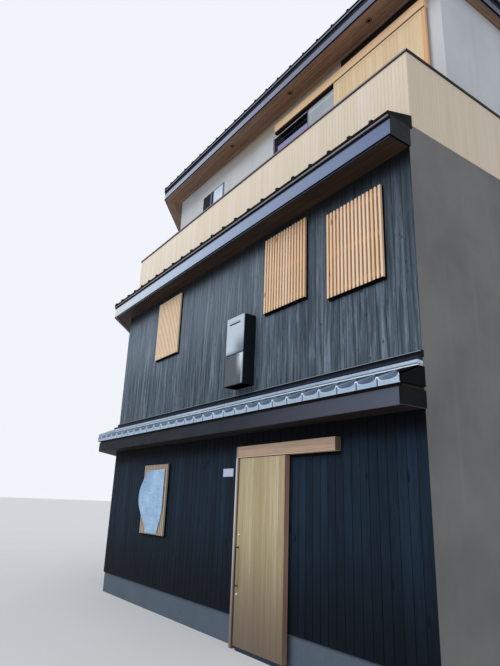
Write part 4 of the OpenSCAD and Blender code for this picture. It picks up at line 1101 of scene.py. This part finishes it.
def casement(builds, side, face, x, z, width, height, panes, sill=True, glass=("dark", "dark")):
    """Sashes, glazing strips, panes and a sill in front of one window's frame."""
    place = side_frame(side)
    frames, rubber = builds["frames"], builds["rubber"]
    member, sash, bead = 0.045, 0.026, 0.004
    inset = face + 0.030
    clear = (width - (panes + 1) * member) / panes
    z0, z1 = z + member, z + height - member
    for i in range(panes):
        a = x + member + i * (clear + member)
        b = a + clear
        depth = inset + 0.022 + (0.012 if i % 2 else 0.0)
        frames.rim(a, b, depth - 0.018, depth + 0.010, z0, z1, sash, 0.0015, place)
        front, back = depth - 0.012, depth - 0.002
        for left in (a + sash, b - sash - bead):
            rubber.post(left, left + bead, front, back, z0 + sash, z1 - sash, 0, place)
        for low in (z0 + sash, z1 - sash - bead):
            rubber.beam(a + sash, b - sash, front, back, low, low + bead, 0, place)
        builds[glass[i]].post(a + sash - bead, b - sash + bead, depth - 0.008, depth - 0.003,
                              z0 + sash - bead, z1 - sash + bead, 0, place)
    if panes == 2:
        middle = x + width / 2
        builds["mullion"].post(middle - member / 2, middle + member / 2, inset - 0.004, inset + 0.010, z0, z1,
                               0.002, place)
    if sill:
        frames.bar(board(-z, -(z - 0.022), face - 0.014, inset + 0.002, 0.003), x - 0.012, x + width + 0.012,
                   place @ LYING)


def insect_screen(build, edge, x0, x1, z0, z1, front):
    """The pale grey screen that slides outside the right half of the large window."""
    border, back = 0.022, front + 0.005
    build.post(x0 + border, x1 - border, front + 0.0015, front + 0.003, z0 + border, z1 - border)
    edge.post(x0 - 0.026, x0, front - 0.001, back, z0, z1)
    build.rim(x0, x1, front, back, z0, z1, border)


def small_window_sashes(builds, x, z, height):
    """Sashes of the small top window, which slide outside its frame: one dark, one painted pale as a
    reflection of the sky.
    """
    front, back = TOP_BACK - 0.010, TOP_BACK - 0.004
    low, high = z + 0.020, z + height - 0.020
    for kind, left, right, deep in (("dull", 0.020, 0.318, 0.001), ("lilac", 0.318, 0.360, 0.0),
                                    ("frames", 0.360, 0.447, 0.0), ("sky", 0.447, 0.815, 0.001),
                                    ("lilac", 0.815, 0.863, 0.0)):
        builds[kind].post(x + left, x + right, front + deep, back, low, high)
    builds["rubber"].beam(x + 0.002, x + 0.863, front, back, high, high + 0.017)
    builds["rubber"].post(x + 0.002, x + 0.020, front, back, low, high)


def windows():
    # Each kind of part, with the piece that it makes, its material and its slot
    kinds = {"frames": ("window_sashes", "dark_frame", "frame_aluminium"),
             "mullion": ("window_mullions", "mullion_paint", "frame_aluminium"),
             "rubber": ("glazing_strips", "black_trim", "frame_aluminium"),
             "dark": ("dark_panes", "dark_glass", "window_pane"),
             "mirror": ("large_left_pane", "mirror_glass", "window_pane"),
             "screen": ("insect_screen", "screen_glass", "window_pane"),
             "sky": ("painted_sky_pane", "sky_glass", "window_pane"),
             "dull": ("small_dark_pane", "dull_glass", "window_pane"),
             "lilac": ("small_window_stile", "pale_edge_metal", "frame_aluminium")}
    builds = {kind: Build() for kind in kinds}
    for corner in LATTICES.values():
        casement(builds, FRONT, 0.0, corner.x + COVER, corner.z + COVER, BEHIND_W, BEHIND_H, 1, sill=False)
    small_x, small_w, small_h, small_z = 0.985, 0.865, 0.900, SILLS[2]
    casement(builds, FRONT, TOP_BACK, small_x, small_z, small_w, small_h, 2)
    small_window_sashes(builds, small_x, small_z, small_h)
    large_z = DECK_Z + 0.38
    casement(builds, FRONT, TOP_BACK, 3.580, large_z, 1.980, 2.264, 2, glass=("mirror", "dark"))
    insect_screen(builds["screen"], builds["mullion"], 4.600, 5.540, DECK_Z + 0.412, large_z + 2.236,
                  TOP_BACK - 0.012)
    for side, face in ((LEFT, LEFT_X), (BACK, -HOUSE_D)):
        for x, z in sum(PLAIN_WINDOWS[side], []):
            casement(builds, side, face, x, z, PLAIN_W, PLAIN_H, 2)
    for kind, (name, finish, slot) in kinds.items():
        builds[kind].piece(name, finish, slot, replaces=["window_glass"] if kind == "dark" else ())


# Water heater, plate and downlights

def heater():
    low, high = survey_box("heater_covers")
    covers, dark = Build(), Build()
    for z0, z1, tone in ((low.z + 0.010, low.z + 0.436, 0.0), (low.z + 0.449, high.z, 1.0)):
        covers.post(low.x, high.x, low.y, high.y, z0 + 0.003, z1 - 0.003, 0.004, tone=tone)
        covers.post(low.x + 0.004, high.x - 0.004, low.y + 0.003, high.y, z0, z1, 0.002, tone=tone)
    slot_z = high.z - 0.112
    dark.beam(low.x + 0.075, high.x - 0.090, low.y, low.y + 0.004, slot_z, slot_z + 0.022, 0.001)
    for i in range(9):
        x = low.x + 0.085 + i * 0.029
        dark.post(x, x + 0.012, low.y, low.y + 0.003, slot_z + 0.030, slot_z + 0.042)
    for x in (low.x + 0.062, high.x - 0.100):
        dark.turned((x, low.y + 0.001, low.z + 0.408), OUTWARD, [(0, 0.010), (0.004, 0.010), (0.006, 0.006)])
    dark.post(low.x - 0.004, high.x + 0.004, low.y - 0.006, -0.001, low.z, low.z + 0.010, 0.002)
    for z in (foot("heater_casing") + 0.150, foot("heater_casing") + 0.620):
        dark.post(high.x, high.x + 0.0015, -0.150, -0.030, z, z + 0.003)
    covers.piece("heater_cover_plates", "silver_cover", "heater_silver", replaces=["heater_covers"])
    dark.piece("heater_dark_fittings", "casing_paint", "heater_dark")


def name_free_plate():
    low, high = survey_box("blank_plate")
    build = Build()
    build.post(low.x, high.x, low.y + 0.001, -0.001, low.z, high.z, 0.0015)
    build.rim(low.x, high.x, low.y, low.y + 0.003, low.z, high.z, 0.006)
    build.piece("blank_wall_plate", "pale_plate", "plate_plastic", replaces=["blank_plate"])


def down_lamps():
    low, high = survey_box("downlights")
    radius, y = 0.048, (low.y + high.y) / 2
    rims, lenses = Build(), Build()
    for i in range(3):
        x = low.x + radius + i * (high.x - low.x - 2 * radius) / 2
        rims.turned((x, y, high.z), DOWNWARD, [(0.0, radius), (0.003, radius), (0.005, radius - 0.004),
                                               (0.005, radius - 0.010), (0.001, radius - 0.013)])
        lenses.turned((x, y, high.z - 0.0035), UPRIGHT, [(0.0, 0.020), (0.003, 0.030)])
    rims.piece("downlight_rims", "dark_iron", "dark_iron", replaces=["downlights"])
    lenses.piece("downlight_lenses", "black_trim", "dark_iron")


def dress_nodes():
    """Gives each CAD node that stays its material."""
    finishes = {
        "cast_concrete": "plinth", "floor_concrete": "ground_floor", "cement_render": "party_wall",
        "black_trim": "front_wall_left front_wall_right front_wall_over_door middle_front_wall corner_wall "
                      "left_wall back_wall",
        "pale_render": "top_front_wall top_corner_wall top_side_walls top_back_wall",
        "floor_wood": "middle_floor top_floor", "jamb_wood": "door_jamb", "header_wood": "door_header",
        "eaves_frame_wood": "low_roof_frame high_roof_frame top_soffit", "rail_wood": "shutter_rail",
        "low_fascia_metal": "low_roof_trim", "fascia_metal": "high_fascia", "top_fascia_metal": "top_fascia",
        "sheet_metal": "high_roof_sheet top_roof_sheet", "parapet_cedar": "parapet",
        "cap_metal": "parapet_cap", "casing_paint": "heater_casing", "dark_frame": "window_frames"}
    finish_of = {name: finish for finish, names in finishes.items() for name in names.split()}
    for name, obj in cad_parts.items():
        if obj.hide_render:
            continue
        obj.data.materials.clear()
        obj.data.materials.append(FINISHES[finish_of[name]])


# Stage, light and camera

def stage_floor():
    mesh = bpy.data.meshes.new("studio_floor")
    mesh.from_pydata([(x, y, 0) for x, y in rect(-400, 400, -400, 400)], [], [[0, 1, 2, 3]])
    floor = bpy.data.objects.new("studio_floor", mesh)
    f = Finish("studio_floor", roughness=0.9, specular_ior_level=0.1)
    f.feed(f.shader.inputs["Base Color"], f.mix(f.noise(f.place(), 0.4, 3.0), "dcdde0", "e2e3e6"))
    mesh.materials.append(FINISHES["studio_floor"])
    bpy.context.scene.collection.objects.link(floor)


def studio_world():
    """A pale backdrop for the camera, mirrors and glass. What lights the house is dimmer."""
    world = bpy.data.worlds.new("studio")
    bpy.context.scene.world = world
    world.use_nodes = True
    world.node_tree.nodes.clear()
    w = Nodes(world.node_tree)
    seen = w.node("LightPath", {}, "Is Camera Ray")
    for ray in ("Is Glossy Ray", "Is Transmission Ray"):
        seen = w.node("Math", {0: seen, 1: w.node("LightPath", {}, ray)}, operation="ADD", use_clamp=True)
    light = w.node("Background", {"Color": (0.93, 0.96, 1.0, 1), "Strength": 0.55})
    backdrop = w.node("Background", {"Color": "f1f4fa", "Strength": 1.0})
    out = w.tree.nodes.new("ShaderNodeOutputWorld")
    w.feed(out.inputs[0], w.node("MixShader", {0: seen, 1: light, 2: backdrop}))


def soft_sun(name, azimuth, height, strength, angle):
    """A wide, soft lamp from a compass direction (0 is the street front, 90 the party side)."""
    data = bpy.data.lights.new(name, "SUN")
    data.energy, data.angle = strength, math.radians(angle)
    lamp = bpy.data.objects.new(name, data)
    a, h = math.radians(azimuth), math.radians(height)
    towards = Vector((math.sin(a) * math.cos(h), -math.cos(a) * math.cos(h), math.sin(h)))
    lamp.rotation_euler = towards.to_track_quat("Z", "Y").to_euler()
    bpy.context.scene.collection.objects.link(lamp)


def photo_camera():
    """The camera solved from the photo's straight lines."""
    place = Vector((10.549, -4.060, 1.632))
    yaw, pitch, roll = (math.radians(a) for a in (55.857, 17.565, 2.228))
    focal_px, photo_h_px = 540.53, 666
    ahead = Vector((-math.sin(yaw) * math.cos(pitch), math.cos(yaw) * math.cos(pitch), math.sin(pitch)))
    level = Vector((math.cos(yaw), math.sin(yaw), 0))
    up = level.cross(ahead)
    right = math.cos(roll) * level + math.sin(roll) * up
    upward = -math.sin(roll) * level + math.cos(roll) * up
    turn = Matrix((right, upward, -ahead)).transposed()
    data = bpy.data.cameras.new("photo_camera")
    data.sensor_fit, data.sensor_height, data.clip_end = "VERTICAL", 24, 500
    data.lens = focal_px / photo_h_px * data.sensor_height
    camera = bpy.data.objects.new("photo_camera", data)
    camera.matrix_world = Matrix.Translation(place + ORIGIN) @ turn.to_4x4()
    bpy.context.scene.collection.objects.link(camera)
    bpy.context.scene.camera = camera


photo_camera()
street_boards()
eaves_boards()
metal_edges()
tiled_roof()
for lattice in LATTICES:
    lattice_panel(lattice)
lattice_back_frames_and_shade()
sliding_door()
door_fittings()
header_trim()
hung_sheet()
parapet_boards()
top_wall_trim()
shutter()
windows()
heater()
name_free_plate()
down_lamps()
dress_nodes()
stage_floor()
studio_world()
soft_sun("key_lamp", -20, 40, 1.45, 30)
soft_sun("fill_lamp", 70, 30, 0.32, 60)
bpy.context.scene.view_settings.view_transform = "Standard"
